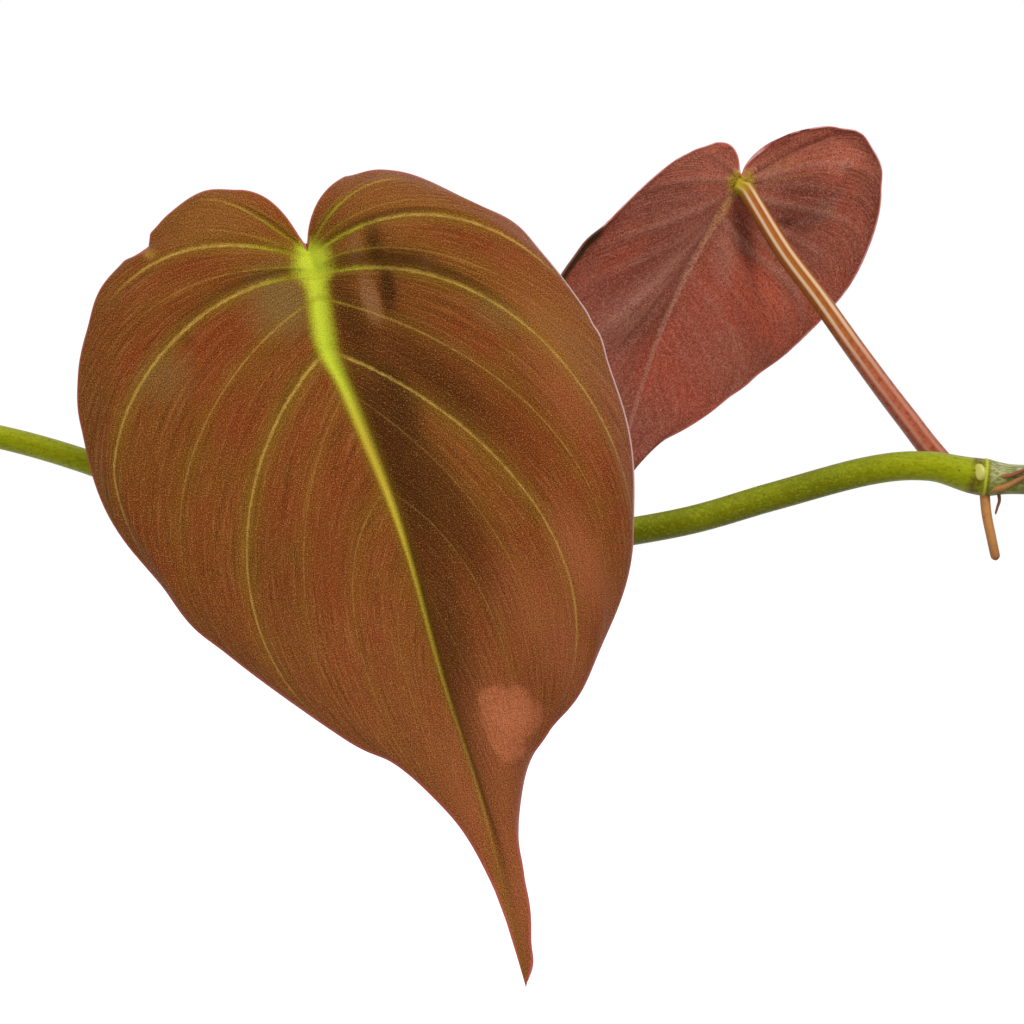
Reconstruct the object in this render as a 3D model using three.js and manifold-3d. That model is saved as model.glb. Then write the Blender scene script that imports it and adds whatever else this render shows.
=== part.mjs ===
// A potted velvet leaf philodendron: a plain pot of soil, and vines with heart-shaped leaves.
// Millimetres, +Z up. The origin is the centre of the pot's underside. Seen from the front, along +Y,
// the main vine reaches out to the left, and the other vines hang over the pot's rim.

import * as THREE from 'three';
import { mergeVertices } from 'three/addons/utils/BufferGeometryUtils.js';
import Module from 'manifold-3d';

const wasm = await Module();
wasm.setup();

// Driving dimensions
const POT_HEIGHT = 95;
const POT_RIM_RADIUS = 60;
const POT_FOOT_RADIUS = 42;
const POT_WALL = 4.5;
const POT_FLOOR = 6;
const COLLAR_HEIGHT = 18;
const COLLAR_STEP = 3;
const POT_SIDES = 32;
const DRAIN_HOLES = 4;
const DRAIN_RADIUS = 4.5;
const DRAIN_CIRCLE = 24;
const SOIL_LEVEL = 83;
const SOIL_ROUGHNESS = 1.2;
const HOLE_DEPTH = 16;
const CLEARANCE = 0.3;

const BLADE_THICKNESS = 0.7;
const STEM_RADIUS = 1.75;
const STEM_TAPER = 0.7;
const MAIN_RADIUS = 1.9;
const NODE_SWELL = 1.27;
const NODE_LENGTH = 0.14;
const TIP_SHARE = 0.35;
const PETIOLE_RADIUS = 1.2;
const PETIOLE_TAPER = 0.78;
const ROOT_RADIUS = 0.6;
const ROOT_TAPER = 0.45;

// How finely the round pieces are cut
const STEM_SIDES = 8;
const VINE_SIDES = 6;
const PETIOLE_SIDES = 5;
const LARGE_PETIOLE_SIDES = 8;
const STEM_STEP = 9;
const PETIOLE_STEP = 7;

const COLOURS = {
  clay: 0xb9795a,
  soil: 0x2e2119,
  stem: 0x7c8a26,
  leaf: 0x7d4624,
};

// The outline and vein form of the front leaf, in its own plane, in millimetres. x runs to the right
// and y towards the tip, from the petiole. Each rib starts on the midrib and passes two points on its
// way to the margin. The first rib is the edge of the sinus, and the last one is the tip itself.
// A bulge moves the margin about one place between the ribs: the place, to the right, towards the tip.
// A notch in one margin has three such places: its start, its deepest point and its end.
const FRONT_SHAPE = {
  midrib: [
    [-0.5, 0.1], [-0.5, 0.2], [-0.4, 0.3], [-0.3, 0.5], [-0.2, 1], [0.1, 2.2], [0.4, 3.2], [0.8, 5.8],
    [1.9, 12.1], [4.2, 17], [9, 28.9], [11.9, 37.6], [15.7, 51.6], [20.8, 67.8], [25.8, 88.9],
  ],
  left: [
    [-2.3, -2.8, -4.8, -5.7, -8.6, -7.2],
    [-4.4, -3.4, -8.9, -5.9, -13.1, -7],
    [-6, -3.5, -11.6, -5.9, -17.3, -4.2],
    [-7.2, -1.6, -14.2, -2.2, -22, 0.7],
    [-8.6, -0.4, -18.2, 1.4, -27.1, 10.2],
    [-10.1, 3.1, -20.6, 8.4, -28, 21],
    [-15.4, 10, -23.5, 25.4, -17, 41.8],
    [-10.4, 17, -15.6, 33, -9.6, 49.1],
    [-6.4, 27, -6.5, 44.5, 4, 58.9],
    [-0.4, 31.3, 0.6, 48, 10, 61.9],
    [5, 40.4, 7.9, 54.1, 14.9, 66.2],
    [10.8, 48.8, 14.4, 60, 18.7, 70.8],
    [16.8, 61.4, 19.4, 69.8, 22.2, 77.6],
    [21.5, 73, 22.9, 78.5, 24.2, 83.5],
  ],
  right: [
    [-0.1, -3.6, 1.4, -6.7, 4, -8.9],
    [1.8, -4.4, 5.5, -7.9, 10.1, -9.6],
    [4, -5.9, 9.8, -8.5, 16.6, -7.2],
    [7.7, -5, 17.2, -5.6, 25.6, -1.9],
    [11.5, -4, 23.2, -1.6, 32.8, 6.8],
    [11.5, 0, 24.4, 4.1, 35.4, 12.2],
    [19.2, 5, 33.1, 17.4, 38.8, 34.2],
    [19.7, 13.7, 33.2, 28.2, 34.8, 48.1],
    [19.3, 22.3, 30.7, 38.4, 28.7, 58],
    [18, 28.7, 26.5, 43.7, 26.5, 61.3],
    [19, 38.6, 24.1, 51.6, 25.4, 65.1],
    [17.3, 47.4, 22.2, 58.8, 24.9, 70.6],
    [19.2, 60.2, 22.8, 68.6, 25.6, 75.4],
    [22.9, 73.4, 24.5, 78.5, 26.4, 83],
  ],
  bulges: {
    left: [[2.5, 0.2, 0.2], [3.5, -0.6, -0.3], [4.5, 0.4, 0.1], [4.8, 0.4, 0], [5.5, -1.2, 0.7]],
    right: [
      [0.5, 0, -0.2], [2.8, 0.3, -0.3], [4.5, -0.3, 0.4], [5.5, 0.9, -0.2], [7.5, 0.4, 0.3],
      [12.5, 0.2, 0], [13.5, 0.4, 0],
    ],
  },
};
const NOTCHED_SHAPE = {
  ...FRONT_SHAPE,
  notch: { side: 'left', start: 2.5, deepest: 2.88, end: 3.08, right: 1.7, down: 0.3 },
};

// The same for the second leaf, which turns its underside to the front.
const TURNED_SHAPE = {
  midrib: [
    [0, -0.6], [0, -0.5], [0, -0.4], [0.1, -0.3], [0.1, 0], [0.3, 0.3], [0.4, 0.6], [0.9, 1.5],
    [2.5, 4.5], [3.8, 6.6], [6.6, 11.6], [8.4, 15.3], [11.7, 23.2], [14.9, 33.5], [18.6, 46.6],
  ],
  left: [
    [-0.4, -2, -1.8, -3.7, -4, -5.2],
    [-1.3, -2.4, -4.2, -5, -7.4, -6.5],
    [-3.3, -2.8, -7.4, -5.1, -12.2, -6.9],
    [-4.2, -2.4, -10.9, -5, -16.8, -4],
    [-5.5, -1.3, -12.7, -2.2, -17.8, 1],
    [-5.5, 0.3, -13.5, 1.3, -17, 6.1],
    [-5.9, 2.9, -13.5, 5.1, -14.4, 12.2],
    [-5.5, 6.4, -11.2, 10.2, -10.7, 17],
    [-2.9, 10.2, -7.6, 15, -5.8, 21.8],
    [-1.3, 13.1, -4.2, 18.2, -2.3, 24.4],
    [2.5, 17.3, 0.3, 22, 1.5, 27.4],
    [5.1, 20.7, 3.4, 25.2, 5, 30.1],
    [9.4, 27.5, 8.9, 30.9, 10.8, 33.6],
    [14.6, 35.3, 14.8, 37.3, 15.5, 39.4],
  ],
  right: [
    [0.4, -2.8, 1.3, -4.5, 3.3, -5],
    [0.9, -2.2, 2.5, -3.8, 4.7, -4.5],
    [1.7, -2.2, 3.8, -3.6, 6.5, -3.8],
    [2.5, -1.5, 6, -2.3, 10, -1.6],
    [3.8, -0.3, 8.5, -0.1, 13.5, 1.5],
    [5.1, 1.5, 10.8, 2.5, 17.3, 5.3],
    [6.6, 3.9, 14, 6.5, 21.8, 10],
    [7.9, 7.4, 16.2, 11.2, 24.9, 15.4],
    [9.8, 11.8, 18.1, 18.8, 26.3, 21],
    [11.1, 15.6, 18.7, 23.3, 26.6, 26.2],
    [13, 19.5, 19.3, 26.5, 25.6, 31.3],
    [13.6, 23.3, 18.7, 30.3, 24.2, 35.4],
    [15.5, 29, 19.1, 34.7, 21.9, 40.4],
    [16.5, 37.3, 18.1, 40.4, 19.8, 43.9],
  ],
  bulges: {
    left: [[2.5, -0.3, -0.5], [3.5, -0.2, 0], [9.5, -0.1, 0.1], [11.5, -0.1, 0.1]],
    right: [[2.5, 0, -0.1], [5.5, 0.2, -0.2]],
  },
};

// The front leaf's length along its own axis, and the turn that brings that axis upright in its plane.
const FRONT_LENGTH = 91.9;
const FRONT_LEAN = THREE.MathUtils.degToRad(16.3);

// The ribs at which a large leaf and a common one are cut, and the steps from midrib to margin
const FINE_RIBS = [0, 0.5, 1, 2, 2.5, 2.88, 3.08, 3.5, 4, 4.5, 5, 5.5, 6, 6.5, 7, 8, 9.5, 11, 12, 13, 14];
const FINE_STEPS = [0, 0.25, 0.5, 0.75, 1];
const COMMON_RIBS = [0, 1.5, 3, 4, 5, 5.5, 6, 7.5, 10, 12.5, 14];
const COMMON_STEPS = [0, 0.45, 1];

// Splines and solids

// A smooth curve through rows of numbers, one row at each whole value of u
function spline(rows, u) {
  const last = rows.length - 1;
  const k = Math.min(Math.floor(u), last - 1);
  const f = u - k;
  const row = (i, column) => {
    if (i < 0) return 2 * rows[0][column] - rows[1][column];
    if (i > last) return 2 * rows[last][column] - rows[last - 1][column];
    return rows[i][column];
  };
  return rows[0].map((_, c) => {
    const [a, b, d, e] = [row(k - 1, c), row(k, c), row(k + 1, c), row(k + 2, c)];
    return b + 0.5 * f * (d - a + f * (2 * a - 5 * b + 4 * d - e + f * (3 * (b - d) + e - a)));
  });
}

// Points along a hand-laid route, close to one step apart, with the value of u at each
function route(rows, step) {
  const samples = [];
  const last = rows.length - 1;
  for (let k = 0; k < last; k += 1) {
    const from = new THREE.Vector3(...rows[k]);
    const count = Math.max(1, Math.round(from.distanceTo(new THREE.Vector3(...rows[k + 1])) / step));
    for (let i = 0; i < count; i += 1) samples.push(k + i / count);
  }
  samples.push(last);
  return samples.map((u) => ({ u, point: new THREE.Vector3(...spline(rows, u)) }));
}

function solidOf(geometry) {
  geometry.deleteAttribute('normal');
  geometry.deleteAttribute('uv');
  const merged = mergeVertices(geometry, 1e-4);
  return new wasm.Manifold(new wasm.Mesh({
    numProp: 3,
    vertProperties: new Float32Array(merged.attributes.position.array),
    triVerts: new Uint32Array(merged.index.array),
  }));
}

function geometryOf(solid) {
  const mesh = solid.getMesh();
  const geometry = new THREE.BufferGeometry();
  geometry.setAttribute('position', new THREE.BufferAttribute(new Float32Array(mesh.vertProperties), 3));
  geometry.setIndex(new THREE.BufferAttribute(new Uint32Array(mesh.triVerts), 1));
  return geometry;
}

// A closed solid from points and triangles; triangles with two corners alike are left out.
function solidFrom(points, triangles) {
  const geometry = new THREE.BufferGeometry();
  const kept = triangles.filter(([a, b, c]) => a !== b && b !== c && a !== c);
  geometry.setAttribute('position', new THREE.Float32BufferAttribute(points.flatMap((p) => p.toArray()), 3));
  geometry.setIndex(kept.flat());
  return solidOf(geometry);
}

// A closed tube through points with a radius at each, its ends flat
function tube(points, radii, sides) {
  const vertices = [];
  const triangles = [];
  const tangentAt = (i) => points[Math.min(i + 1, points.length - 1)].clone()
    .sub(points[Math.max(i - 1, 0)]).normalize();
  let side = new THREE.Vector3(0.3, 0.5, 0.8).cross(tangentAt(0)).normalize();
  points.forEach((point, i) => {
    const tangent = tangentAt(i);
    side = side.clone().addScaledVector(tangent, -side.dot(tangent)).normalize();
    const other = tangent.clone().cross(side);
    for (let k = 0; k < sides; k += 1) {
      const angle = (2 * Math.PI * k) / sides;
      vertices.push(point.clone().addScaledVector(side, radii[i] * Math.cos(angle))
        .addScaledVector(other, radii[i] * Math.sin(angle)));
    }
  });
  for (let i = 0; i + 1 < points.length; i += 1) {
    for (let k = 0; k < sides; k += 1) {
      const [a, b] = [i * sides + k, i * sides + ((k + 1) % sides)];
      triangles.push([a, b, b + sides], [a, b + sides, a + sides]);
    }
  }
  const end = (points.length - 1) * sides;
  for (let k = 1; k + 1 < sides; k += 1) triangles.push([0, k + 1, k], [end, end + k, end + k + 1]);
  return solidFrom(vertices, triangles);
}

function bead(centre, radius, stretch) {
  const geometry = new THREE.IcosahedronGeometry(radius, 1);
  geometry.scale(...stretch);
  geometry.translate(...centre);
  return solidOf(geometry);
}

const unite = (solids) => solids.reduce((whole, solid) => whole.add(solid));

function seededRandom(seed) {
  let state = seed;
  return () => {
    state = (state * 48271) % 2147483647;
    return state / 2147483647;
  };
}

// Leaves

// How far a notch is open at a place of the margin, from 0 to 1
function notchDepth({ start, deepest, end }, u) {
  const opening = THREE.MathUtils.clamp((u - start) / (deepest - start), 0, 1);
  const closing = THREE.MathUtils.clamp((end - u) / (end - deepest), 0, 1);
  return opening * closing;
}

// A point of one half of a blade in its own plane: u counts the ribs, t runs from midrib to margin.
function ribPoint(shape, side, u, t) {
  const ribs = shape.midrib.map((start, i) => {
    const tip = [...start, ...start, ...start];
    return [...start, ...(shape[side][i] ?? tip)];
  });
  const [x0, y0, x1, y1, x2, y2, x3, y3] = spline(ribs, u);
  const weights = [
    -4.5 * (t - 1 / 3) * (t - 2 / 3) * (t - 1),
    13.5 * t * (t - 2 / 3) * (t - 1),
    -13.5 * t * (t - 1 / 3) * (t - 1),
    4.5 * t * (t - 1 / 3) * (t - 2 / 3),
  ];
  let x = weights[0] * x0 + weights[1] * x1 + weights[2] * x2 + weights[3] * x3;
  let y = weights[0] * y0 + weights[1] * y1 + weights[2] * y2 + weights[3] * y3;
  const push = (share, right, down) => {
    x += share * t ** 3 * right;
    y += share * t ** 3 * down;
  };
  for (const [place, right, down] of shape.bulges[side]) {
    push(Math.cos(Math.PI * THREE.MathUtils.clamp(u - place, -0.5, 0.5)) ** 2, right, down);
  }
  if (shape.notch?.side === side) push(notchDepth(shape.notch, u), shape.notch.right, shape.notch.down);
  return { x, y, reach: Math.hypot(x3 - x0, y3 - y0) };
}

// How far the blade stands out of its plane, towards the upper face: each half rises from the midrib
// to a crest and falls again to the margin, the blade swells between the main veins, and dents may
// lie in it. The drawn-out tip is plain.
function relief(form, side, u, t, { x, y, reach }) {
  const { rise, crest } = form[side];
  const share = Math.min(1, reach / 30) * (1 - THREE.MathUtils.smoothstep(u, 8.5, 13.5));
  const along = t / crest;
  let w = rise * share * (2 * along - along * along);
  w += form.swell * share * Math.sin(0.5 * Math.PI * u) ** 2 * 4 * t * (1 - t);
  w -= form.arch * ((y - form.middle) / 50) ** 2;
  for (const dent of form.dents) {
    w -= dent.depth * Math.exp(-(((x - dent.x) / dent.width) ** 2) - ((y - dent.y) / dent.length) ** 2);
  }
  return w;
}

// A point of the blade in space. The blade's axis may be bent backwards along an arc.
function bladePoint(leaf, side, u, t) {
  const flat = ribPoint(leaf.shape, side, u, t);
  const w = leaf.size * relief(leaf.form, side, u, t, flat);
  const [c, s] = [Math.cos(leaf.lean), Math.sin(leaf.lean)];
  const across = leaf.size * (flat.x * c - flat.y * s);
  const along = leaf.size * (flat.x * s + flat.y * c);
  const bent = leaf.bend * along;
  const arc = leaf.bend > 0 ? Math.sin(bent) / leaf.bend : along;
  const drop = leaf.bend > 0 ? (1 - Math.cos(bent)) / leaf.bend : 0;
  return leaf.base.clone()
    .addScaledVector(leaf.across, leaf.mirror * across)
    .addScaledVector(leaf.along, arc + w * Math.sin(bent))
    .addScaledVector(leaf.normal, w * Math.cos(bent) - drop);
}

function bladeNormal(leaf, side, u, t) {
  if (t === 0 || u === 0 || u >= leaf.shape.midrib.length - 1) return leaf.normal.clone();
  const step = 0.05;
  const alongRibs = bladePoint(leaf, side, u + step, t).sub(bladePoint(leaf, side, u - step, t));
  const alongStep = bladePoint(leaf, side, u, Math.min(1, t + step)).sub(bladePoint(leaf, side, u, t - step));
  const normal = alongRibs.cross(alongStep).normalize();
  return normal.dot(leaf.normal) < 0 ? normal.negate() : normal;
}

// The blade as a closed solid: both faces share one pattern of triangles, with a rim between them.
function blade(leaf, ribs, steps) {
  const points = [];
  const triangles = [];
  const index = new Map();
  const last = leaf.shape.midrib.length - 1;
  const vertex = (side, u, t, face) => {
    const key = t === 0 || u === last ? `mid ${u} ${face}` : `${side} ${u} ${t} ${face}`;
    if (!index.has(key)) {
      const point = bladePoint(leaf, side, u, t === 0 || u === last ? 0 : t);
      if (face === 'under') point.addScaledVector(bladeNormal(leaf, side, u, t), -BLADE_THICKNESS);
      index.set(key, points.length);
      points.push(point);
    }
    return index.get(key);
  };
  const facet = (a, b, c, flip) => triangles.push(flip ? [a, c, b] : [a, b, c]);
  for (const side of ['left', 'right']) {
    const turned = (side === 'left') === (leaf.mirror > 0);
    for (const face of ['over', 'under']) {
      const flip = (face === 'under') !== turned;
      for (let i = 0; i + 1 < ribs.length; i += 1) {
        for (let j = 0; j + 1 < steps.length; j += 1) {
          const a = vertex(side, ribs[i], steps[j], face);
          const b = vertex(side, ribs[i + 1], steps[j], face);
          const c = vertex(side, ribs[i + 1], steps[j + 1], face);
          const d = vertex(side, ribs[i], steps[j + 1], face);
          facet(a, b, c, flip);
          facet(a, c, d, flip);
        }
      }
    }
    const rim = steps.map((t) => [ribs[0], t]).concat(ribs.slice(1).map((u) => [u, 1]));
    for (let i = 0; i + 1 < rim.length; i += 1) {
      const a = vertex(side, ...rim[i], 'over');
      const b = vertex(side, ...rim[i + 1], 'over');
      const c = vertex(side, ...rim[i + 1], 'under');
      const d = vertex(side, ...rim[i], 'under');
      facet(a, b, c, turned);
      facet(a, c, d, turned);
    }
  }
  return solidFrom(points, triangles);
}

// Where a petiole ends under the midrib, and its thickness there: a large leaf's comes from the tip's
// side and runs up to the sinus, and a common leaf's comes from the stem's side and runs on outwards.
const UPWARD_END = [[6, 0.85], [4.5, 0.6], [3, 0.3]];
const OUTWARD_END = [[7, 0.9], [8.5, 0.55], [10, 0.35]];

// The petiole from the stem to the blade
function petiole(leaf, end, sides) {
  const points = route(leaf.petiole, PETIOLE_STEP).map((sample) => sample.point);
  const top = PETIOLE_TAPER * leaf.stalkRadius;
  const radii = points.map((_, i) => THREE.MathUtils.lerp(leaf.stalkRadius, top, i / (points.length - 1)));
  for (const [u, share] of end) {
    const depth = 0.5 * BLADE_THICKNESS + share * top;
    points.push(bladePoint(leaf, 'left', u, 0).addScaledVector(leaf.normal, -depth));
    radii.push(share * top);
  }
  return tube(points, radii, sides);
}

const largeLeaf = (leaf) => blade(leaf, FINE_RIBS, FINE_STEPS)
  .add(petiole(leaf, UPWARD_END, LARGE_PETIOLE_SIDES));
const commonLeaf = (leaf) => blade(leaf, COMMON_RIBS, COMMON_STEPS)
  .add(petiole(leaf, OUTWARD_END, PETIOLE_SIDES));

// Where a petiole starts on the stem: just clear of it, on the side it leaves by
function petioleStart(point, tangent, direction, stemRadius) {
  const outward = direction.clone().addScaledVector(tangent, -direction.dot(tangent)).normalize();
  const lean = Math.sqrt(Math.max(0, 1 - direction.clone().normalize().dot(outward) ** 2));
  return point.clone().addScaledVector(outward, stemRadius + CLEARANCE + PETIOLE_RADIUS * lean);
}

// The pot and the soil

const potRadius = (z) => {
  const collarFoot = POT_HEIGHT - COLLAR_HEIGHT;
  const bodyTop = POT_RIM_RADIUS - COLLAR_STEP;
  return THREE.MathUtils.lerp(POT_FOOT_RADIUS, bodyTop, z / collarFoot);
};
const innerRadius = (z) => THREE.MathUtils.lerp(
  POT_FOOT_RADIUS - POT_WALL,
  POT_RIM_RADIUS - POT_WALL,
  (z - POT_FLOOR) / (POT_HEIGHT - POT_FLOOR),
);

function pot() {
  const collarFoot = POT_HEIGHT - COLLAR_HEIGHT;
  const round = 1.2;
  const profile = [
    [0, 0],
    [POT_FOOT_RADIUS - round, 0],
    [POT_FOOT_RADIUS, round],
    [potRadius(collarFoot), collarFoot],
    [POT_RIM_RADIUS - round, collarFoot + 0.5],
    [POT_RIM_RADIUS - 0.4, collarFoot + 2],
    [POT_RIM_RADIUS, POT_HEIGHT - round],
    [POT_RIM_RADIUS - round, POT_HEIGHT],
    [innerRadius(POT_HEIGHT) + round, POT_HEIGHT],
    [innerRadius(POT_HEIGHT - round), POT_HEIGHT - round],
    [innerRadius(POT_FLOOR), POT_FLOOR],
    [0, POT_FLOOR],
  ].map(([r, z]) => new THREE.Vector2(r, z));
  const lathe = new THREE.LatheGeometry(profile, POT_SIDES);
  lathe.rotateX(Math.PI / 2);
  let solid = solidOf(lathe);
  for (let k = 0; k < DRAIN_HOLES; k += 1) {
    const angle = (2 * Math.PI * (k + 0.5)) / DRAIN_HOLES;
    const hole = new THREE.CylinderGeometry(DRAIN_RADIUS, DRAIN_RADIUS, 3 * POT_FLOOR, 10);
    hole.rotateX(Math.PI / 2);
    hole.translate(DRAIN_CIRCLE * Math.cos(angle), DRAIN_CIRCLE * Math.sin(angle), POT_FLOOR / 2);
    solid = solid.subtract(solidOf(hole));
  }
  return solid;
}

function soil(holes) {
  const bottom = POT_FLOOR + CLEARANCE;
  const fit = CLEARANCE / Math.cos(Math.PI / POT_SIDES);
  const profile = [[0, bottom], [innerRadius(bottom) - fit, bottom]];
  for (const share of [1, 0.86, 0.7, 0.52, 0.34, 0.17]) {
    profile.push([(innerRadius(SOIL_LEVEL) - fit) * share, SOIL_LEVEL]);
  }
  profile.push([0, SOIL_LEVEL]);
  const lathe = new THREE.LatheGeometry(profile.map(([r, z]) => new THREE.Vector2(r, z)), POT_SIDES);
  lathe.rotateX(Math.PI / 2);
  lathe.deleteAttribute('normal');
  lathe.deleteAttribute('uv');
  const merged = mergeVertices(lathe, 1e-3);
  const random = seededRandom(7);
  const position = merged.attributes.position;
  for (let i = 0; i < position.count; i += 1) {
    const radius = Math.hypot(position.getX(i), position.getY(i));
    const lump = SOIL_ROUGHNESS * (2 * random() - 1);
    const onTop = position.getZ(i) > SOIL_LEVEL - 1 && radius < 0.95 * innerRadius(SOIL_LEVEL);
    if (onTop) position.setZ(i, position.getZ(i) + lump + 1.5 * (1 - (radius / POT_RIM_RADIUS) ** 2));
  }
  let solid = solidOf(merged);
  for (const { foot: [x, y], radius } of holes) {
    const height = 2 * HOLE_DEPTH;
    const hole = new THREE.CylinderGeometry(radius + CLEARANCE, radius + CLEARANCE, height, STEM_SIDES);
    hole.rotateX(Math.PI / 2);
    hole.translate(x, y, SOIL_LEVEL - HOLE_DEPTH + height / 2);
    solid = solid.subtract(solidOf(hole));
  }
  return solid;
}

// Stems

// A stem along its route, swollen at each node, with the buds and aerial roots that grow there
function stem(rows, nodes, extras, radius, sides) {
  const last = rows.length - 1;
  const plain = route(rows, STEM_STEP).map(({ u }) => ({ u, swell: u === last ? TIP_SHARE : 1 }))
    .filter(({ u }) => u === last || nodes.every((node) => Math.abs(u - node) > 2 * NODE_LENGTH));
  const rings = nodes.flatMap((node) => [[-NODE_LENGTH, 1], [0, NODE_SWELL], [NODE_LENGTH, 1]]
    .map(([offset, swell]) => ({ u: node + offset, swell }))).filter(({ u }) => u < last - 0.05);
  const samples = [...plain, ...rings].sort((a, b) => a.u - b.u);
  const radii = samples.map(({ u, swell }) => {
    const taper = THREE.MathUtils.lerp(1, STEM_TAPER, (u / last) ** 2);
    return radius * swell * taper;
  });
  const points = samples.map(({ u }) => new THREE.Vector3(...spline(rows, u)));
  return unite([tube(points, radii, sides), ...extras]);
}

const root = (points, radius, taper = ROOT_TAPER) => tube(
  points.map((p) => new THREE.Vector3(...p)),
  points.map((_, i) => radius * (1 - (taper * i) / (points.length - 1))),
  PETIOLE_SIDES,
);

// The main vine

// Its route, from the soil on the right to the growing tip on the left
const MAIN_ROUTE = [
  [-18, 1, SOIL_LEVEL - HOLE_DEPTH + 1], [-18, 1, SOIL_LEVEL + 1], [-21, 1, 101], [-30, 0, 118],
  [-45, 0, 130], [-64, 0, 137], [-80, 0, 139], [-91.3, 0, 139.4], [-98.3, 0, 140.8], [-105.8, 0, 140.2],
  [-117.7, 0, 136.9], [-129.1, 0, 133.7], [-144, 1, 131.3], [-154, 1.5, 130.6], [-163.9, 1.5, 130.5],
  [-173.8, 1, 131.5], [-183.8, 0, 134], [-193.7, 0, 137.8], [-203.6, 0, 141.5], [-213.6, 0, 144.3],
  [-226, 0, 146.5], [-238, 0, 146], [-248, -1, 142],
];
const TURNED_NODE = 7;
const FRONT_NODE = 14;
const YOUNG_NODE = 20;
const UPRIGHT_NODE = 4;

// Leaves that hang from a node of a vine

const UP = new THREE.Vector3(0, 0, 1);
const COMMON_FORM = {
  left: { rise: 4, crest: 0.55 },
  right: { rise: 4.5, crest: 0.5 },
  swell: 0.6,
  arch: 0,
  middle: 40,
  dents: [],
};

// A leaf by its place on the stem and its stance. heading is the compass angle in degrees, seen from
// above, to which the tip points; pitch is how far the tip hangs below the level, and roll turns the
// blade about its own axis. stalk is the vector from the node to the blade, and droop the bend in
// degrees from the blade's base to its tip. mirror is 1, or -1 for a leaf of the other hand.
function hangingLeaf(rows, node, stemRadius, { stalk, heading, pitch, roll, size, mirror, droop }) {
  const point = new THREE.Vector3(...spline(rows, node));
  const ahead = new THREE.Vector3(...spline(rows, Math.min(node + 0.1, rows.length - 1)));
  const tangent = ahead.sub(new THREE.Vector3(...spline(rows, node - 0.1))).normalize();
  const reach = new THREE.Vector3(...stalk);
  const [h, p] = [heading, pitch].map(THREE.MathUtils.degToRad);
  const forward = new THREE.Vector3(Math.cos(h), Math.sin(h), 0);
  const along = forward.clone().multiplyScalar(Math.cos(p)).addScaledVector(UP, -Math.sin(p));
  const normal = forward.clone().multiplyScalar(Math.sin(p)).addScaledVector(UP, Math.cos(p));
  normal.applyAxisAngle(along, THREE.MathUtils.degToRad(roll));
  const base = point.clone().add(reach);
  const start = petioleStart(point, tangent, reach, stemRadius);
  const length = reach.length();
  const leave = start.clone().addScaledVector(reach, 0.35).addScaledVector(UP, 0.06 * length);
  const arrive = base.clone().addScaledVector(normal, -0.22 * length).addScaledVector(reach, -0.12);
  return {
    shape: FRONT_SHAPE,
    form: COMMON_FORM,
    base,
    along,
    normal,
    across: normal.clone().cross(along),
    size,
    mirror,
    lean: FRONT_LEAN,
    bend: THREE.MathUtils.degToRad(droop) / (FRONT_LENGTH * size),
    petiole: [start, leave, arrive, base.clone().addScaledVector(normal, -1.3)].map((p) => p.toArray()),
    stalkRadius: PETIOLE_RADIUS,
  };
}

// The front leaf faces the front with its upper face, and hangs before the stem.
const frontLeaf = {
  shape: NOTCHED_SHAPE,
  form: {
    left: { rise: 3, crest: 0.55 },
    right: { rise: 4, crest: 0.42 },
    swell: 0.5,
    arch: 2,
    middle: 40,
    dents: [{ x: 8.2, y: 4.8, depth: 1.1, width: 1.6, length: 3.6 }],
  },
  base: new THREE.Vector3(-174.1, -27, 166.6),
  across: new THREE.Vector3(1, 0, 0),
  along: new THREE.Vector3(0, 0, -1),
  normal: new THREE.Vector3(0, -1, 0),
  size: 1,
  mirror: 1,
  lean: 0,
  bend: 0,
  petiole: [[-164.35, -0.7, 131.8], [-166, -9, 137], [-171, -18.5, 151], [-174.5, -24, 162.4]],
  stalkRadius: PETIOLE_RADIUS,
};

// The turned leaf stands behind the stem, with its underside and its petiole to the front.
const turnedLeaf = {
  shape: TURNED_SHAPE,
  form: {
    left: { rise: 2.6, crest: 0.5 },
    right: { rise: 2.2, crest: 0.5 },
    swell: 0.4,
    arch: 1.5,
    middle: 20,
    dents: [],
  },
  base: new THREE.Vector3(-120.8, 20, 177),
  across: new THREE.Vector3(-1, 0, 0),
  along: new THREE.Vector3(0, 0, -1),
  normal: new THREE.Vector3(0, 1, 0),
  size: 1,
  mirror: 1,
  lean: 0,
  bend: 0,
  petiole: [
    [-91.5, 4.05, 139.4], [-94.8, 3.8, 139.9], [-97.5, 4.3, 142.5], [-100.5, 5.5, 146.5],
    [-103.3, 7.2, 150.3], [-107.3, 9.7, 156], [-111.3, 12.3, 161.9], [-115.6, 15, 167.9],
    [-119.3, 17.6, 174.2], [-120.3, 18.5, 176],
  ],
  stalkRadius: 1.4,
};

// The other vines

// A vine by the compass angle at which it leaves the pot: it rises from the soil, arches over the rim
// and hangs down outside. root is its distance from the pot's axis, top the height of its arch, reach
// the distance at which it hangs and end the height of its tip. sway turns it sideways on its way.
function vineRoute({ angle, root: foot, top, reach, end, sway }) {
  const place = (radius, z, share) => {
    const a = THREE.MathUtils.degToRad(angle + sway * share);
    return [radius * Math.cos(a), radius * Math.sin(a), z];
  };
  return [
    place(foot, SOIL_LEVEL - HOLE_DEPTH + 1, 0),
    place(foot, SOIL_LEVEL + 1, 0),
    place(foot + 3, SOIL_LEVEL + 16, 0.05),
    place(foot + 13, top - 7, 0.15),
    place(foot + 27, top, 0.35),
    place(POT_RIM_RADIUS + 3, top - 12, 0.6),
    place(reach, 0.5 * (top - 12 + end), 0.8),
    place(reach + 2, end, 1),
  ];
}

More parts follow.
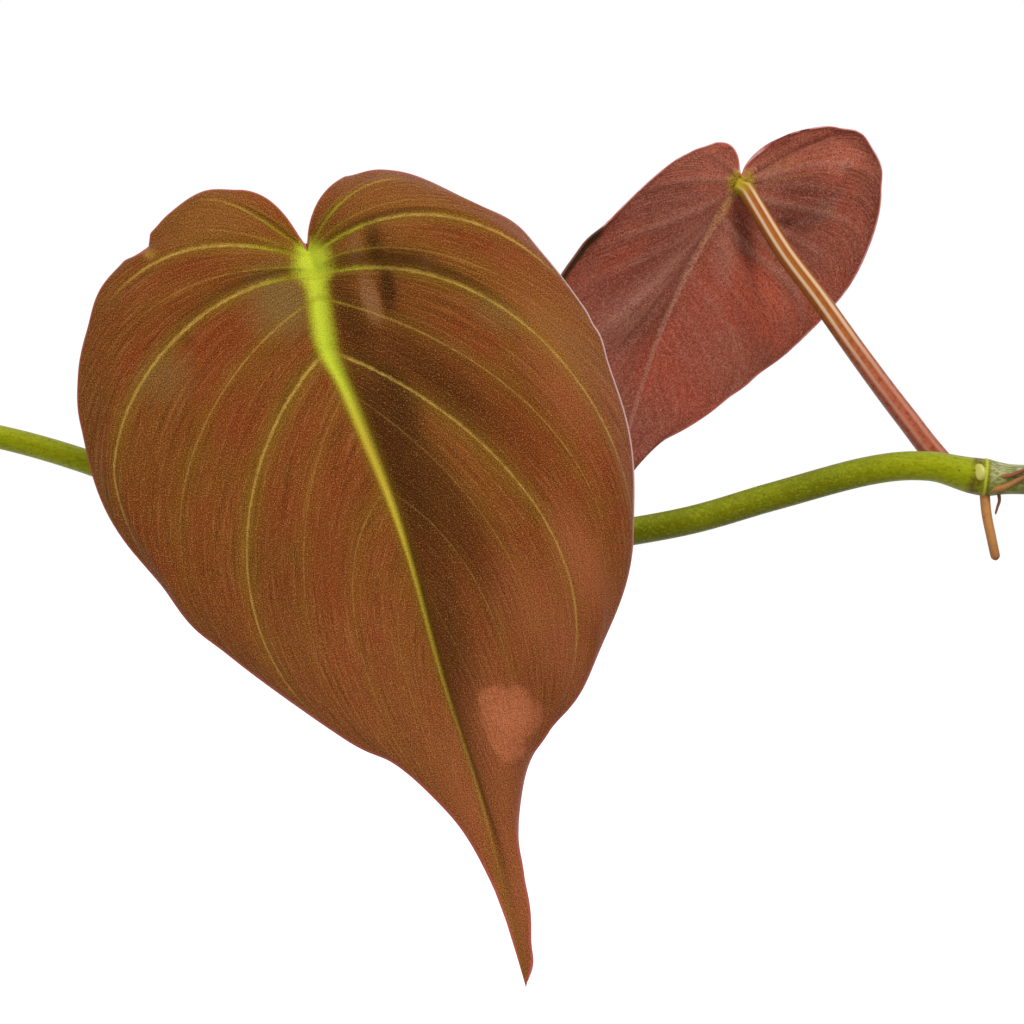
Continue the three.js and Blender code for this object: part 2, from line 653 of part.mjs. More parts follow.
// Each row of leaves holds the node, the side of the vine, the size against the front leaf, how much
// further out the leaf stands in millimetres, and how many degrees it turns more to its side.
const VINES = [
  {
    angle: 118, root: 26, top: 122, reach: 72, end: 44, sway: -8,
    leaves: [
      [3, 1, 0.56, 0, 0], [4, -1, 0.66, 0, 0], [5, 1, 0.68, 0, 0], [6, -1, 0.6, 0, 0], [6.9, 1, 0.44, 0, 0],
    ],
  },
  {
    angle: 66, root: 22, top: 132, reach: 76, end: 60, sway: -4,
    leaves: [
      [3.3, -1, 0.6, -2, -12], [4.4, 1, 0.68, 0, 0], [5.5, -1, 0.6, 4, -10], [6.6, 1, 0.5, 0, 0],
    ],
  },
  {
    angle: 14, root: 27, top: 118, reach: 74, end: 40, sway: 2,
    leaves: [
      [3, 1, 0.58, 0, 0], [4.1, -1, 0.66, 0, 0], [5.1, 1, 0.62, 0, -12], [6, -1, 0.58, 0, 0],
      [6.9, 1, 0.42, 0, 0],
    ],
  },
  {
    angle: -36, root: 20, top: 136, reach: 78, end: 66, sway: -4,
    leaves: [
      [3.4, -1, 0.64, 0, 0], [4.5, 1, 0.7, 0, 0], [5.6, -1, 0.62, 0, 0], [6.7, 1, 0.5, 0, 0],
    ],
  },
  {
    angle: -92, root: 26, top: 120, reach: 73, end: 42, sway: 4,
    leaves: [
      [3, 1, 0.56, 0, 0], [4.1, -1, 0.66, 0, 0], [5.1, 1, 0.64, 0, 0], [6, -1, 0.56, 0, 0],
      [6.9, 1, 0.42, 0, 0],
    ],
  },
  {
    angle: 166, root: 27, top: 108, reach: 66, end: 48, sway: 2,
    leaves: [[2.8, -1, 0.5, 0, 0], [4, 1, 0.42, -7, 0], [6.4, -1, 0.36, -6, 0]],
  },
];

// One short aerial root below each node, on the side away from its leaf
function vineRoots(rows, leaves, seed) {
  const random = seededRandom(seed);
  return leaves.slice(0, -1).map(([node, side]) => {
    const point = new THREE.Vector3(...spline(rows, node));
    const outward = new THREE.Vector3(point.x, point.y, 0).normalize();
    const sideways = UP.clone().cross(outward).multiplyScalar(-side);
    const length = 5 + 4 * random();
    const knee = point.clone().addScaledVector(sideways, 0.45 * length).addScaledVector(UP, -0.35 * length);
    const end = knee.clone().addScaledVector(outward, 0.15 * length).addScaledVector(UP, -0.6 * length);
    return root([point, knee, end].map((p) => p.toArray()), ROOT_RADIUS);
  });
}

// A common leaf's stance follows from where it stands: nearly level near the soil, steep past the rim.
function vineLeaf(rows, [node, side, size, out, turn]) {
  const [x, y] = spline(rows, node);
  const angle = THREE.MathUtils.radToDeg(Math.atan2(y, x));
  const outward = new THREE.Vector3(x, y, 0).normalize();
  const sideways = UP.clone().cross(outward).multiplyScalar(side);
  const hang = THREE.MathUtils.clamp((node - 3) / 3, 0, 1);
  const length = FRONT_LENGTH * size * 0.5;
  const stalk = outward.clone().multiplyScalar(0.25 + 0.45 * hang + 0.12 * side)
    .addScaledVector(sideways, 0.7).addScaledVector(UP, 0.8 - 0.45 * hang)
    .setLength(length).addScaledVector(outward, out);
  return hangingLeaf(rows, node, STEM_RADIUS, {
    stalk: stalk.toArray(),
    heading: angle + side * (42 - 24 * hang + turn),
    pitch: 22 + 46 * hang,
    roll: side * -6,
    size,
    mirror: side,
    droop: 34,
  });
}

// The whole plant

const group = new THREE.Group();

function addPiece(name, solid, colour, roughness) {
  const material = new THREE.MeshStandardMaterial({ color: colour, roughness, metalness: 0 });
  const mesh = new THREE.Mesh(geometryOf(solid), material);
  mesh.name = name;
  group.add(mesh);
}

addPiece('front_leaf', largeLeaf(frontLeaf), COLOURS.leaf, 0.7);
addPiece('turned_leaf', largeLeaf(turnedLeaf), COLOURS.leaf, 0.7);

// At the turned leaf's node: a resting bud, a long root that hangs down with a short one beside it, and
// two roots that run along the older stem
const mainExtras = [
  bead([-91.9, -1.8, 140.1], 1, [0.75, 0.6, 1]),
  root([[-91.4, 0, 138.6], [-91.1, -0.4, 134.9], [-90.5, -0.6, 131.8], [-89.9, -0.5, 129]], 0.65, 0.08),
  root([[-89.7, -0.4, 137.8], [-89.5, -0.5, 136.5], [-89.75, -0.5, 135.6], [-90, -0.5, 134.7]], 0.3, 0.3),
  root([[-89.9, -1.5, 139.4], [-88.5, -2.1, 139.5], [-87, -2.3, 140], [-85.2, -2.4, 140.8]], 0.35, 0.3),
  root([[-90.5, -1.3, 137.8], [-89, -2.1, 138.1], [-87.2, -2.5, 139], [-84.8, -2.4, 140.2]], 0.4, 0.3),
];
const mainNodes = [UPRIGHT_NODE, TURNED_NODE, FRONT_NODE, YOUNG_NODE];
addPiece('main_stem', stem(MAIN_ROUTE, mainNodes, mainExtras, MAIN_RADIUS, STEM_SIDES), COLOURS.stem, 0.5);

const mainLeaves = {
  upright_leaf: hangingLeaf(MAIN_ROUTE, UPRIGHT_NODE, MAIN_RADIUS, {
    stalk: [6, -14, 24], heading: -70, pitch: 35, roll: 0, size: 0.62, mirror: 1, droop: 30,
  }),
  young_leaf: hangingLeaf(MAIN_ROUTE, YOUNG_NODE, MAIN_RADIUS, {
    stalk: [-12, 8, 14], heading: 150, pitch: 50, roll: 0, size: 0.4, mirror: -1, droop: 30,
  }),
};
for (const [name, leaf] of Object.entries(mainLeaves)) {
  addPiece(name, commonLeaf(leaf), COLOURS.leaf, 0.7);
}

VINES.forEach((vine, v) => {
  const rows = vineRoute(vine);
  const nodes = vine.leaves.map(([node]) => node);
  const roots = vineRoots(rows, vine.leaves, v + 11);
  addPiece(`vine_${v + 1}_stem`, stem(rows, nodes, roots, STEM_RADIUS, VINE_SIDES), COLOURS.stem, 0.5);
  vine.leaves.forEach((place, k) => {
    addPiece(`vine_${v + 1}_leaf_${k + 1}`, commonLeaf(vineLeaf(rows, place)), COLOURS.leaf, 0.7);
  });
});

const soilHoles = [{ foot: MAIN_ROUTE[0], radius: MAIN_RADIUS }];
for (const vine of VINES) soilHoles.push({ foot: vineRoute(vine)[0], radius: STEM_RADIUS });
addPiece('pot', pot(), COLOURS.clay, 0.8);
addPiece('soil', soil(soilHoles), COLOURS.soil, 0.95);

export default group;
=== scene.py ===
"""A potted velvet leaf philodendron: velvety bronze leaves on green vines in a terracotta pot.

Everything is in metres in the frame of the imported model: +Z up, the origin under the pot's centre.
The shapes are laid out in millimetres, as the solids are, and turned into metres in one place.
"""

import math

import bpy
import numpy as np
from bpy.props import FloatProperty, FloatVectorProperty, IntProperty, PointerProperty
from mathutils import Matrix, Vector


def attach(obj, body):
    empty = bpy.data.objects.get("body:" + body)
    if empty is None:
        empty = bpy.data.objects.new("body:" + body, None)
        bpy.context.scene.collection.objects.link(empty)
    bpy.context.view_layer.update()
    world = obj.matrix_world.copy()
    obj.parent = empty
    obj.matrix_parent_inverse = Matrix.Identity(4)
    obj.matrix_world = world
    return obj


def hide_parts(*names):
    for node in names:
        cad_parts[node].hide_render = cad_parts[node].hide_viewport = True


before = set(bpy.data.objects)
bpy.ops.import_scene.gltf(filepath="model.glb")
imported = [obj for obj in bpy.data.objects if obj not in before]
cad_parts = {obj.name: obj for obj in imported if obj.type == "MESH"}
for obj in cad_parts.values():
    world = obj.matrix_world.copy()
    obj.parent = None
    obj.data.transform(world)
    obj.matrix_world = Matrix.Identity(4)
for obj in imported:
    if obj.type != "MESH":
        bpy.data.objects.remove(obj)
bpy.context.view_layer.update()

bl_info = {
    "name": "Potted velvet leaf philodendron",
    "version": (1, 0, 0),
    "blender": (4, 5, 0),
    "location": "View3D > Sidebar > Plant",
    "description": "Leaves, vines, soil and pot of a velvet leaf philodendron",
    "category": "Object",
}

MM = 0.001
BODY = "root"

# The pot and the soil, in millimetres
POT_HEIGHT = 95
POT_RIM_RADIUS = 60
POT_FOOT_RADIUS = 42
POT_WALL = 4.5
POT_FLOOR = 6
COLLAR_HEIGHT = 18
COLLAR_STEP = 3
DRAIN_HOLES = 4
DRAIN_RADIUS = 4.5
DRAIN_CIRCLE = 24
SOIL_LEVEL = 83
HOLE_DEPTH = 16

# Stems and leaves, in millimetres
STEM_RADIUS = 1.75
MAIN_RADIUS = 1.9
NODE_SWELL = 1.27
PETIOLE_RADIUS = 1.2
CHANNEL_TURN = 0.16
ROOT_RADIUS = 0.6
BLADE_THICKNESS = 0.6
RIM_BULGE = 0.12
FRONT_LENGTH = 91.9
FRONT_LEAN = math.radians(16.3)
LAST_RIB = 14

# How finely the round pieces are turned
PETIOLE_SIDES = 24
STEM_SIDES = 18
ROOT_SIDES = 10
POT_SIDES = 128
DRILL_SIDES = 32
SOIL_SIDES = 150
SOIL_RINGS = 46

# The soil's clearance above the pot's floor and to its wall, in millimetres
SOIL_GAP = 0.3
SOIL_CLEAR = 0.4

# Over how many points beside the midrib the two halves of a blade come to face one way, and how often
# that direction is evened out along the midrib
NEAR_MIDRIB = 6
STEADY_ROUNDS = 12

# The seed of a leaf shifts its markings; these two leaves have marks of their own.
FRONT_SEED = 0.0
TURNED_SEED = 1.5

# The outline and vein form of the front leaf, in its own plane, in millimetres. x runs to the right
# and y towards the tip, from the petiole. Each rib starts on the midrib and passes two points on its
# way to the margin. The first rib is the edge of the sinus, and the last one is the tip itself.
# A bulge moves the margin about one place between the ribs: the place, to the right, towards the tip.
# A notch in one margin has three such places: its start, its deepest point and its end.
FRONT_SHAPE = {
    "midrib": [
        (-0.5, 0.1), (-0.5, 0.2), (-0.4, 0.3), (-0.3, 0.5), (-0.2, 1), (0.1, 2.2), (0.4, 3.2), (0.8, 5.8),
        (1.9, 12.1), (4.2, 17), (9, 28.9), (11.9, 37.6), (15.7, 51.6), (20.8, 67.8), (25.8, 88.9),
    ],
    "left": [
        (-2.3, -2.8, -4.8, -5.7, -8.6, -7.2),
        (-4.4, -3.4, -8.9, -5.9, -13.1, -7),
        (-6, -3.5, -11.6, -5.9, -17.3, -4.2),
        (-7.2, -1.6, -14.2, -2.2, -22, 0.7),
        (-8.6, -0.4, -18.2, 1.4, -27.1, 10.2),
        (-10.1, 3.1, -20.6, 8.4, -28, 21),
        (-15.4, 10, -23.5, 25.4, -17, 41.8),
        (-10.4, 17, -15.6, 33, -9.6, 49.1),
        (-6.4, 27, -6.5, 44.5, 4, 58.9),
        (-0.4, 31.3, 0.6, 48, 10, 61.9),
        (5, 40.4, 7.9, 54.1, 14.9, 66.2),
        (10.8, 48.8, 14.4, 60, 18.7, 70.8),
        (16.8, 61.4, 19.4, 69.8, 22.2, 77.6),
        (21.5, 73, 22.9, 78.5, 24.2, 83.5),
    ],
    "right": [
        (-0.1, -3.6, 1.4, -6.7, 4, -8.9),
        (1.8, -4.4, 5.5, -7.9, 10.1, -9.6),
        (4, -5.9, 9.8, -8.5, 16.6, -7.2),
        (7.7, -5, 17.2, -5.6, 25.6, -1.9),
        (11.5, -4, 23.2, -1.6, 32.8, 6.8),
        (11.5, 0, 24.4, 4.1, 35.4, 12.2),
        (19.2, 5, 33.1, 17.4, 38.8, 34.2),
        (19.7, 13.7, 33.2, 28.2, 34.8, 48.1),
        (19.3, 22.3, 30.7, 38.4, 28.7, 58),
        (18, 28.7, 26.5, 43.7, 26.5, 61.3),
        (19, 38.6, 24.1, 51.6, 25.4, 65.1),
        (17.3, 47.4, 22.2, 58.8, 24.9, 70.6),
        (19.2, 60.2, 22.8, 68.6, 25.6, 75.4),
        (22.9, 73.4, 24.5, 78.5, 26.4, 83),
    ],
    "bulges": {
        "left": [(2.5, 0.2, 0.2), (3.5, -0.6, -0.3), (4.5, 0.4, 0.1), (4.8, 0.4, 0), (5.5, -1.2, 0.7)],
        "right": [(0.5, 0, -0.2), (2.8, 0.3, -0.3), (4.5, -0.3, 0.4), (5.5, 0.9, -0.2), (7.5, 0.4, 0.3),
                  (12.5, 0.2, 0), (13.5, 0.4, 0)],
    },
}
NOTCH = {"side": "left", "start": 2.5, "deepest": 2.88, "end": 3.08, "right": 1.7, "down": 0.3}

# The same for the second leaf, which turns its underside to the front.
TURNED_SHAPE = {
    "midrib": [
        (0, -0.6), (0, -0.5), (0, -0.4), (0.1, -0.3), (0.1, 0), (0.3, 0.3), (0.4, 0.6), (0.9, 1.5),
        (2.5, 4.5), (3.8, 6.6), (6.6, 11.6), (8.4, 15.3), (11.7, 23.2), (14.9, 33.5), (18.6, 46.6),
    ],
    "left": [
        (-0.4, -2, -1.8, -3.7, -4, -5.2),
        (-1.3, -2.4, -4.2, -5, -7.4, -6.5),
        (-3.3, -2.8, -7.4, -5.1, -12.2, -6.9),
        (-4.2, -2.4, -10.9, -5, -16.8, -4),
        (-5.5, -1.3, -12.7, -2.2, -17.8, 1),
        (-5.5, 0.3, -13.5, 1.3, -17, 6.1),
        (-5.9, 2.9, -13.5, 5.1, -14.4, 12.2),
        (-5.5, 6.4, -11.2, 10.2, -10.7, 17),
        (-2.9, 10.2, -7.6, 15, -5.8, 21.8),
        (-1.3, 13.1, -4.2, 18.2, -2.3, 24.4),
        (2.5, 17.3, 0.3, 22, 1.5, 27.4),
        (5.1, 20.7, 3.4, 25.2, 5, 30.1),
        (9.4, 27.5, 8.9, 30.9, 10.8, 33.6),
        (14.6, 35.3, 14.8, 37.3, 15.5, 39.4),
    ],
    "right": [
        (0.4, -2.8, 1.3, -4.5, 3.3, -5),
        (0.9, -2.2, 2.5, -3.8, 4.7, -4.5),
        (1.7, -2.2, 3.8, -3.6, 6.5, -3.8),
        (2.5, -1.5, 6, -2.3, 10, -1.6),
        (3.8, -0.3, 8.5, -0.1, 13.5, 1.5),
        (5.1, 1.5, 10.8, 2.5, 17.3, 5.3),
        (6.6, 3.9, 14, 6.5, 21.8, 10),
        (7.9, 7.4, 16.2, 11.2, 24.9, 15.4),
        (9.8, 11.8, 18.1, 18.8, 26.3, 21),
        (11.1, 15.6, 18.7, 23.3, 26.6, 26.2),
        (13, 19.5, 19.3, 26.5, 25.6, 31.3),
        (13.6, 23.3, 18.7, 30.3, 24.2, 35.4),
        (15.5, 29, 19.1, 34.7, 21.9, 40.4),
        (16.5, 37.3, 18.1, 40.4, 19.8, 43.9),
    ],
    "bulges": {
        "left": [(2.5, -0.3, -0.5), (3.5, -0.2, 0), (9.5, -0.1, 0.1), (11.5, -0.1, 0.1)],
        "right": [(2.5, 0, -0.1), (5.5, 0.2, -0.2)],
    },
}

# How strongly the vein at each rib shows, from the sinus to the tip, and into how many parts the fine
# veins divide the space between two ribs
VEIN_STRENGTH = [0, 0.1, 0.5, 0.2, 0.9, 0.3, 1, 0.45, 1, 0.3, 0.35, 0.2, 0.1, 0, 0]
FINE_VEINS = 6

# The main vine's route, from the soil on the right to the growing tip on the left
MAIN_ROUTE = [
    (-18, 1, SOIL_LEVEL - HOLE_DEPTH + 1), (-18, 1, SOIL_LEVEL + 1), (-21, 1, 101), (-30, 0, 118),
    (-45, 0, 130), (-64, 0, 137), (-80, 0, 138.7), (-91.3, 0, 139.3), (-98.3, 0, 140.7), (-105.8, 0, 140.1),
    (-117.7, 0, 136.9), (-129.1, 0, 133.7), (-144, 1, 131.3), (-154, 1.5, 130.6), (-163.9, 1.5, 130.5),
    (-173.8, 1, 131.5), (-183.8, 0, 134), (-193.7, 0, 137.8), (-203.6, 0, 141.5), (-213.6, 0, 144.3),
    (-226, 0, 146.5), (-238, 0, 146), (-248, -1, 142),
]
TURNED_NODE = 7
FRONT_NODE = 14
YOUNG_NODE = 20
UPRIGHT_NODE = 4

# Each row of leaves holds the node, the side of the vine, the size against the front leaf, how much
# further out the leaf stands in millimetres, and how many degrees it turns more to its side.
VINES = [
    {
        "angle": 118, "root": 26, "top": 122, "reach": 72, "end": 44, "sway": -8,
        "leaves": [(3, 1, 0.56, 0, 0), (4, -1, 0.66, 0, 0), (5, 1, 0.68, 0, 0), (6, -1, 0.6, 0, 0),
                   (6.9, 1, 0.44, 0, 0)],
    },
    {
        "angle": 66, "root": 22, "top": 132, "reach": 76, "end": 60, "sway": -4,
        "leaves": [(3.3, -1, 0.6, -2, -12), (4.4, 1, 0.68, 0, 0), (5.5, -1, 0.6, 4, -10),
                   (6.6, 1, 0.5, 0, 0)],
    },
    {
        "angle": 14, "root": 27, "top": 118, "reach": 74, "end": 40, "sway": 2,
        "leaves": [(3, 1, 0.58, 0, 0), (4.1, -1, 0.66, 0, 0), (5.1, 1, 0.62, 0, -12), (6, -1, 0.58, 0, 0),
                   (6.9, 1, 0.42, 0, 0)],
    },
    {
        "angle": -36, "root": 20, "top": 136, "reach": 78, "end": 66, "sway": -4,
        "leaves": [(3.4, -1, 0.64, 0, 0), (4.5, 1, 0.7, 0, 0), (5.6, -1, 0.62, 0, 0), (6.7, 1, 0.5, 0, 0)],
    },
    {
        "angle": -92, "root": 26, "top": 120, "reach": 73, "end": 42, "sway": 4,
        "leaves": [(3, 1, 0.56, 0, 0), (4.1, -1, 0.66, 0, 0), (5.1, 1, 0.64, 0, 0), (6, -1, 0.56, 0, 0),
                   (6.9, 1, 0.42, 0, 0)],
    },
    {
        "angle": 166, "root": 27, "top": 108, "reach": 66, "end": 48, "sway": 2,
        "leaves": [(2.8, -1, 0.5, 0, 0), (4, 1, 0.42, -7, 0), (6.4, -1, 0.36, -6, 0)],
    },
]

# The camera stands level in front of the main vine, far off, as in a product photograph.
VIEW_CENTRE = (-150, -828, 135)
VIEW_DISTANCE = 800
VIEW_WIDTH = 122.88

# How deep the velvet's relief is, in metres
VELVET_DEPTH = 0.00015

# How much brighter than its own colour a leaf looks in the studio's light
STUDIO_LIGHT = 2.2


def colour(red, green, blue, light=STUDIO_LIGHT):
    """A colour given as it shows in the studio's light, 0 to 255, as the linear values of the surface."""
    def linear(value):
        share = value / 255
        return (share / 12.92 if share <= 0.04045 else ((share + 0.055) / 1.055) ** 2.4) / light
    return (linear(red), linear(green), linear(blue), 1.0)


# Curves

def spline(rows, u):
    """A smooth curve through rows of numbers, one row at each whole value of u."""
    rows = np.asarray(rows, dtype=float)
    u = np.asarray(u, dtype=float)
    last = len(rows) - 1
    padded = np.vstack([2 * rows[0] - rows[1], rows, 2 * rows[last] - rows[last - 1]])
    k = np.minimum(np.floor(u).astype(int), last - 1)
    f = (u - k)[..., None]
    a, b, d, e = (padded[k + i] for i in range(4))
    return b + 0.5 * f * (d - a + f * (2 * a - 5 * b + 4 * d - e + f * (3 * (b - d) + e - a)))


def unit(vector):
    """The same direction with a length of one."""
    vector = np.asarray(vector, dtype=float)
    return vector / np.linalg.norm(vector)


def unit_rows(rows):
    """The same for each vector of a grid."""
    return rows / np.maximum(np.linalg.norm(rows, axis=-1, keepdims=True), 1e-9)


def smooth_step(low, high, value):
    """From nought below the first value to one above the second."""
    share = np.clip((value - low) / (high - low), 0, 1)
    return share * share * (3 - 2 * share)


def bell(value, centre, width):
    """One at the centre, fading out on both sides."""
    return np.exp(-((value - centre) / width) ** 2)


def resample(points, step):
    """Points at even steps along a smooth route through the given ones, with the u of each."""
    dense = np.linspace(0, len(points) - 1, 40 * len(points))
    line = spline(points, dense)
    run = np.concatenate([[0], np.cumsum(np.linalg.norm(np.diff(line, axis=0), axis=1))])
    count = max(3, int(round(run[-1] / step)) + 1)
    u = np.interp(np.linspace(0, run[-1], count), run, dense)
    return u, spline(points, u), np.linspace(0, run[-1], count)


# Meshes

class Parts:
    """Vertices, faces and vertex data of one piece, gathered from its grown parts."""

    def __init__(self):
        self.vertices = []
        self.faces = []
        self.materials = []
        self.data = {}
        self.count = 0

    def add(self, vertices, faces, material, **data):
        """Take in a grown part, and say at which number its vertices start."""
        vertices = np.asarray(vertices, dtype=float).reshape(-1, 3)
        self.vertices.append(vertices)
        self.faces += [tuple(int(i) + self.count for i in face) for face in faces]
        self.materials += [material] * len(faces)
        for name, values in data.items():
            self.data.setdefault(name, []).append((self.count, np.asarray(values, dtype=float)))
        self.count += len(vertices)
        return self.count - len(vertices)

    def make(self, name, materials):
        """The mesh object of all the parts, in metres."""
        mesh = bpy.data.meshes.new(name)
        mesh.from_pydata((np.vstack(self.vertices) * MM).tolist(), [], self.faces)
        for name_of_data, blocks in self.data.items():
            width = blocks[0][1].shape[1]
            values = np.zeros((self.count, width))
            for start, block in blocks:
                values[start:start + len(block)] = block
            layer = mesh.attributes.new(name_of_data, "FLOAT_VECTOR", "POINT")
            layer.data.foreach_set("vector", values.ravel())
        for material in materials:
            mesh.materials.append(material)
        mesh.polygons.foreach_set("material_index", self.materials)
        mesh.polygons.foreach_set("use_smooth", [True] * len(self.faces))
        mesh.validate()
        mesh.update()
        piece = bpy.data.objects.new(name, mesh)
        bpy.context.scene.collection.objects.link(piece)
        return piece


def sweep(points, radii, sides, facing=None):
    """Vertices and faces of a closed tube along points. Its first side may face a given direction."""
    points = np.asarray(points, dtype=float)
    tangents = np.gradient(points, axis=0)
    tangents /= np.linalg.norm(tangents, axis=1)[:, None]
    side = unit(np.cross((0.3, 0.5, 0.8), tangents[0]))
    angles = np.linspace(0, 2 * np.pi, sides, endpoint=False)
    rings = []
    for i, point in enumerate(points):
        if facing is not None:
            side = np.asarray(facing, dtype=float)
        side = unit(side - tangents[i] * side.dot(tangents[i]))
        other = np.cross(tangents[i], side)
        ring = np.outer(np.cos(angles), side) + np.outer(np.sin(angles), other)
        radius = np.asarray(radii[i])
        rings.append(point + ring * (radius[:, None] if radius.ndim else radius))
    vertices = np.vstack(rings)
    faces = []
    for i in range(len(points) - 1):
        for k in range(sides):
            a, b = i * sides + k, i * sides + (k + 1) % sides
            faces.append((a, b, b + sides, a + sides))
    faces.append(tuple(range(sides))[::-1])
    faces.append(tuple(range((len(points) - 1) * sides, len(points) * sides)))
    return vertices, faces


def polar(radius, angle):
    """x and y of a place round an axis."""
    return radius * math.cos(angle), radius * math.sin(angle)


def closed_faces(rows, sides, flip=False):
    """Faces of a body with a point at either end and rows of points between, or the same turned over."""
    top = 1 + rows * sides
    faces = []
    for k in range(sides):
        n = (k + 1) % sides
        faces.append((0, 1 + n, 1 + k))
        faces.append((top, top - sides + k, top - sides + n))
        for i in range(rows - 1):
            a, b = 1 + i * sides + k, 1 + i * sides + n
            faces.append((a, b, b + sides, a + sides))
    return [face[:1] + face[:0:-1] for face in faces] if flip else faces


def globe(centre, radii, axis, rings=8, sides=12, point=0.0):
    """A closed egg-shaped body; point draws its far end out to a tip."""
    axis = unit(axis)
    side = unit(np.cross(axis, (0.31, 0.87, 0.12)))
    other = np.cross(axis, side)
    vertices = [np.asarray(centre) - axis * radii[2]]
    for i in range(1, rings):
        tilt = math.pi * i / rings
        reach = math.sin(tilt) * (1 - point * (1 - math.cos(tilt)) / 2)
        for k in range(sides):
            turn = 2 * math.pi * k / sides
            vertices.append(np.asarray(centre) - axis * radii[2] * math.cos(tilt)
                            + side * radii[0] * reach * math.cos(turn)
                            + other * radii[1] * reach * math.sin(turn))
    vertices.append(np.asarray(centre) + axis * radii[2])
    return np.array(vertices), closed_faces(rings - 1, sides)


# Leaves

def rib_points(shape, side, u, t):
    """Points of one half of a blade in its own plane: u counts the ribs, t runs to the margin."""
    rows = []
    for i, start in enumerate(shape["midrib"]):
        rest = shape[side][i] if i < LAST_RIB else start * 3
        rows.append(tuple(start) + tuple(rest))
    controls = spline(rows, u)
    start, first, second, end = (controls[..., 2 * i:2 * i + 2] for i in range(4))
    reach = np.linalg.norm(end - start, axis=-1)
    third = 1 / 3
    weights = (
        -4.5 * (t - third) * (t - 2 * third) * (t - 1),
        13.5 * t * (t - 2 * third) * (t - 1),
        -13.5 * t * (t - third) * (t - 1),
        4.5 * t * (t - third) * (t - 2 * third),
    )
    flat = sum(w[..., None] * p for w, p in zip(weights, (start, first, second, end)))
    for place, right, down in shape["bulges"][side]:
        near = np.cos(np.pi * np.clip(u - place, -0.5, 0.5)) ** 2
        flat = flat + (near * t ** 3)[..., None] * np.array((right, down))
    notch = shape.get("notch")
    if notch and notch["side"] == side:
        opening = np.clip((u - notch["start"]) / (notch["deepest"] - notch["start"]), 0, 1)
        closing = np.clip((notch["end"] - u) / (notch["end"] - notch["deepest"]), 0, 1)
        push = opening * closing * t ** 3
        flat = flat + push[..., None] * np.array((notch["right"], notch["down"]))
    return flat, reach


def relief(form, side, u, t, flat, reach):
    """How far the blade stands out of its plane, towards the upper face."""
    rise, crest = form[side]
    share = np.minimum(1, reach / 30) * (1 - smooth_step(8.5, 13.5, u))
    along = t / crest
    w = rise * share * (2 * along - along * along)
    w = w + form["swell"] * share * np.sin(0.5 * np.pi * u) ** 2 * 4 * t * (1 - t)
    w = w - form["arch"] * ((flat[..., 1] - form["middle"]) / 50) ** 2
    for x, y, depth, width, length in form["dents"]:
        w = w - depth * np.exp(-((flat[..., 0] - x) / width) ** 2 - ((flat[..., 1] - y) / length) ** 2)
    if form.get("crease"):
        w = w - crease_height(form["crease"], flat)
    return w


def crease_height(crease, flat):
    """A sharp fold that stands out of the underside along a line, steep on one side of it."""
    start, end = np.array(crease["start"]), np.array(crease["end"])
    run = end - start
    length = np.linalg.norm(run)
    along = ((flat - start) @ run) / length
    away = ((flat - start) @ np.array((run[1], -run[0]))) / length
    width = np.where(away < 0, crease["steep"], crease["gentle"])
    rises = smooth_step(-0.35 * length, 0.3 * length, along)
    falls = 1 - smooth_step(0.7 * length, 1.3 * length, along)
    return crease["height"] * np.exp(-(away / width) ** 2) * (rises * falls)


def place_on_blade(leaf, flat, w):
    """Points of the blade in space. The blade's axis may be bent backwards along an arc."""
    c, s = math.cos(leaf["lean"]), math.sin(leaf["lean"])
    x, y = flat[..., 0], flat[..., 1]
    across = leaf["size"] * (x * c - y * s)
    along = leaf["size"] * (x * s + y * c)
    height = leaf["size"] * w
    bend = leaf["bend"]
    bent = bend * along
    arc = np.sin(bent) / bend if bend > 0 else along
    drop = (1 - np.cos(bent)) / bend if bend > 0 else 0
    return (leaf["base"] + (leaf["mirror"] * across)[..., None] * leaf["across"]
            + (arc + height * np.sin(bent))[..., None] * leaf["along"]
            + (height * np.cos(bent) - drop)[..., None] * leaf["normal"])


def blur(field, rounds):
    """Even a field out over its neighbours, with its border kept."""
    for _ in range(rounds):
        for axis in (0, 1):
            edge = [(1, 1) if a == axis else (0, 0) for a in range(field.ndim)]
            padded = np.pad(field, edge, mode="edge")
            size = field.shape[axis]
            before, here, after = (np.take(padded, range(k, k + size), axis=axis) for k in range(3))
            field = 0.25 * before + 0.5 * here + 0.25 * after
    return field


def turning(flat):
    """The signed area of a grid's cells about each of its points, in their plane."""
    d_u, d_t = np.gradient(flat, axis=0), np.gradient(flat, axis=1)
    return d_u[..., 0] * d_t[..., 1] - d_u[..., 1] * d_t[..., 0]


def unfold(flat, rounds=6):
    """Let ribs that cross near the margin slide back beside each other. The outline stays."""
    flat = flat.copy()
    for _ in range(rounds):
        area = turning(flat)
        area = area * np.sign(np.median(area))
        usual = np.median(area, axis=1, keepdims=True)
        crossed = (area < 0.02 * usual).astype(float)
        share = np.clip(blur(crossed, 8) * 6, 0, 1)[1:-1, 1:-1, None]
        if not crossed.any():
            break
        for _ in range(40):
            middle = 0.25 * (flat[:-2, 1:-1] + flat[2:, 1:-1] + flat[1:-1, :-2] + flat[1:-1, 2:])
            flat[1:-1, 1:-1] += share * (middle - flat[1:-1, 1:-1])
    return flat


def off_line(flat, line):
    """How far each point lies from a line through points, in its plane."""
    best = np.full(flat.shape[:-1], np.inf)
    for a, b in zip(line[:-1], line[1:]):
        step = b - a
        share = np.clip(((flat - a) @ step) / max(step @ step, 1e-12), 0, 1)
        apart = flat - a - share[..., None] * step
        best = np.minimum(best, (apart * apart).sum(-1))
    return np.sqrt(best)


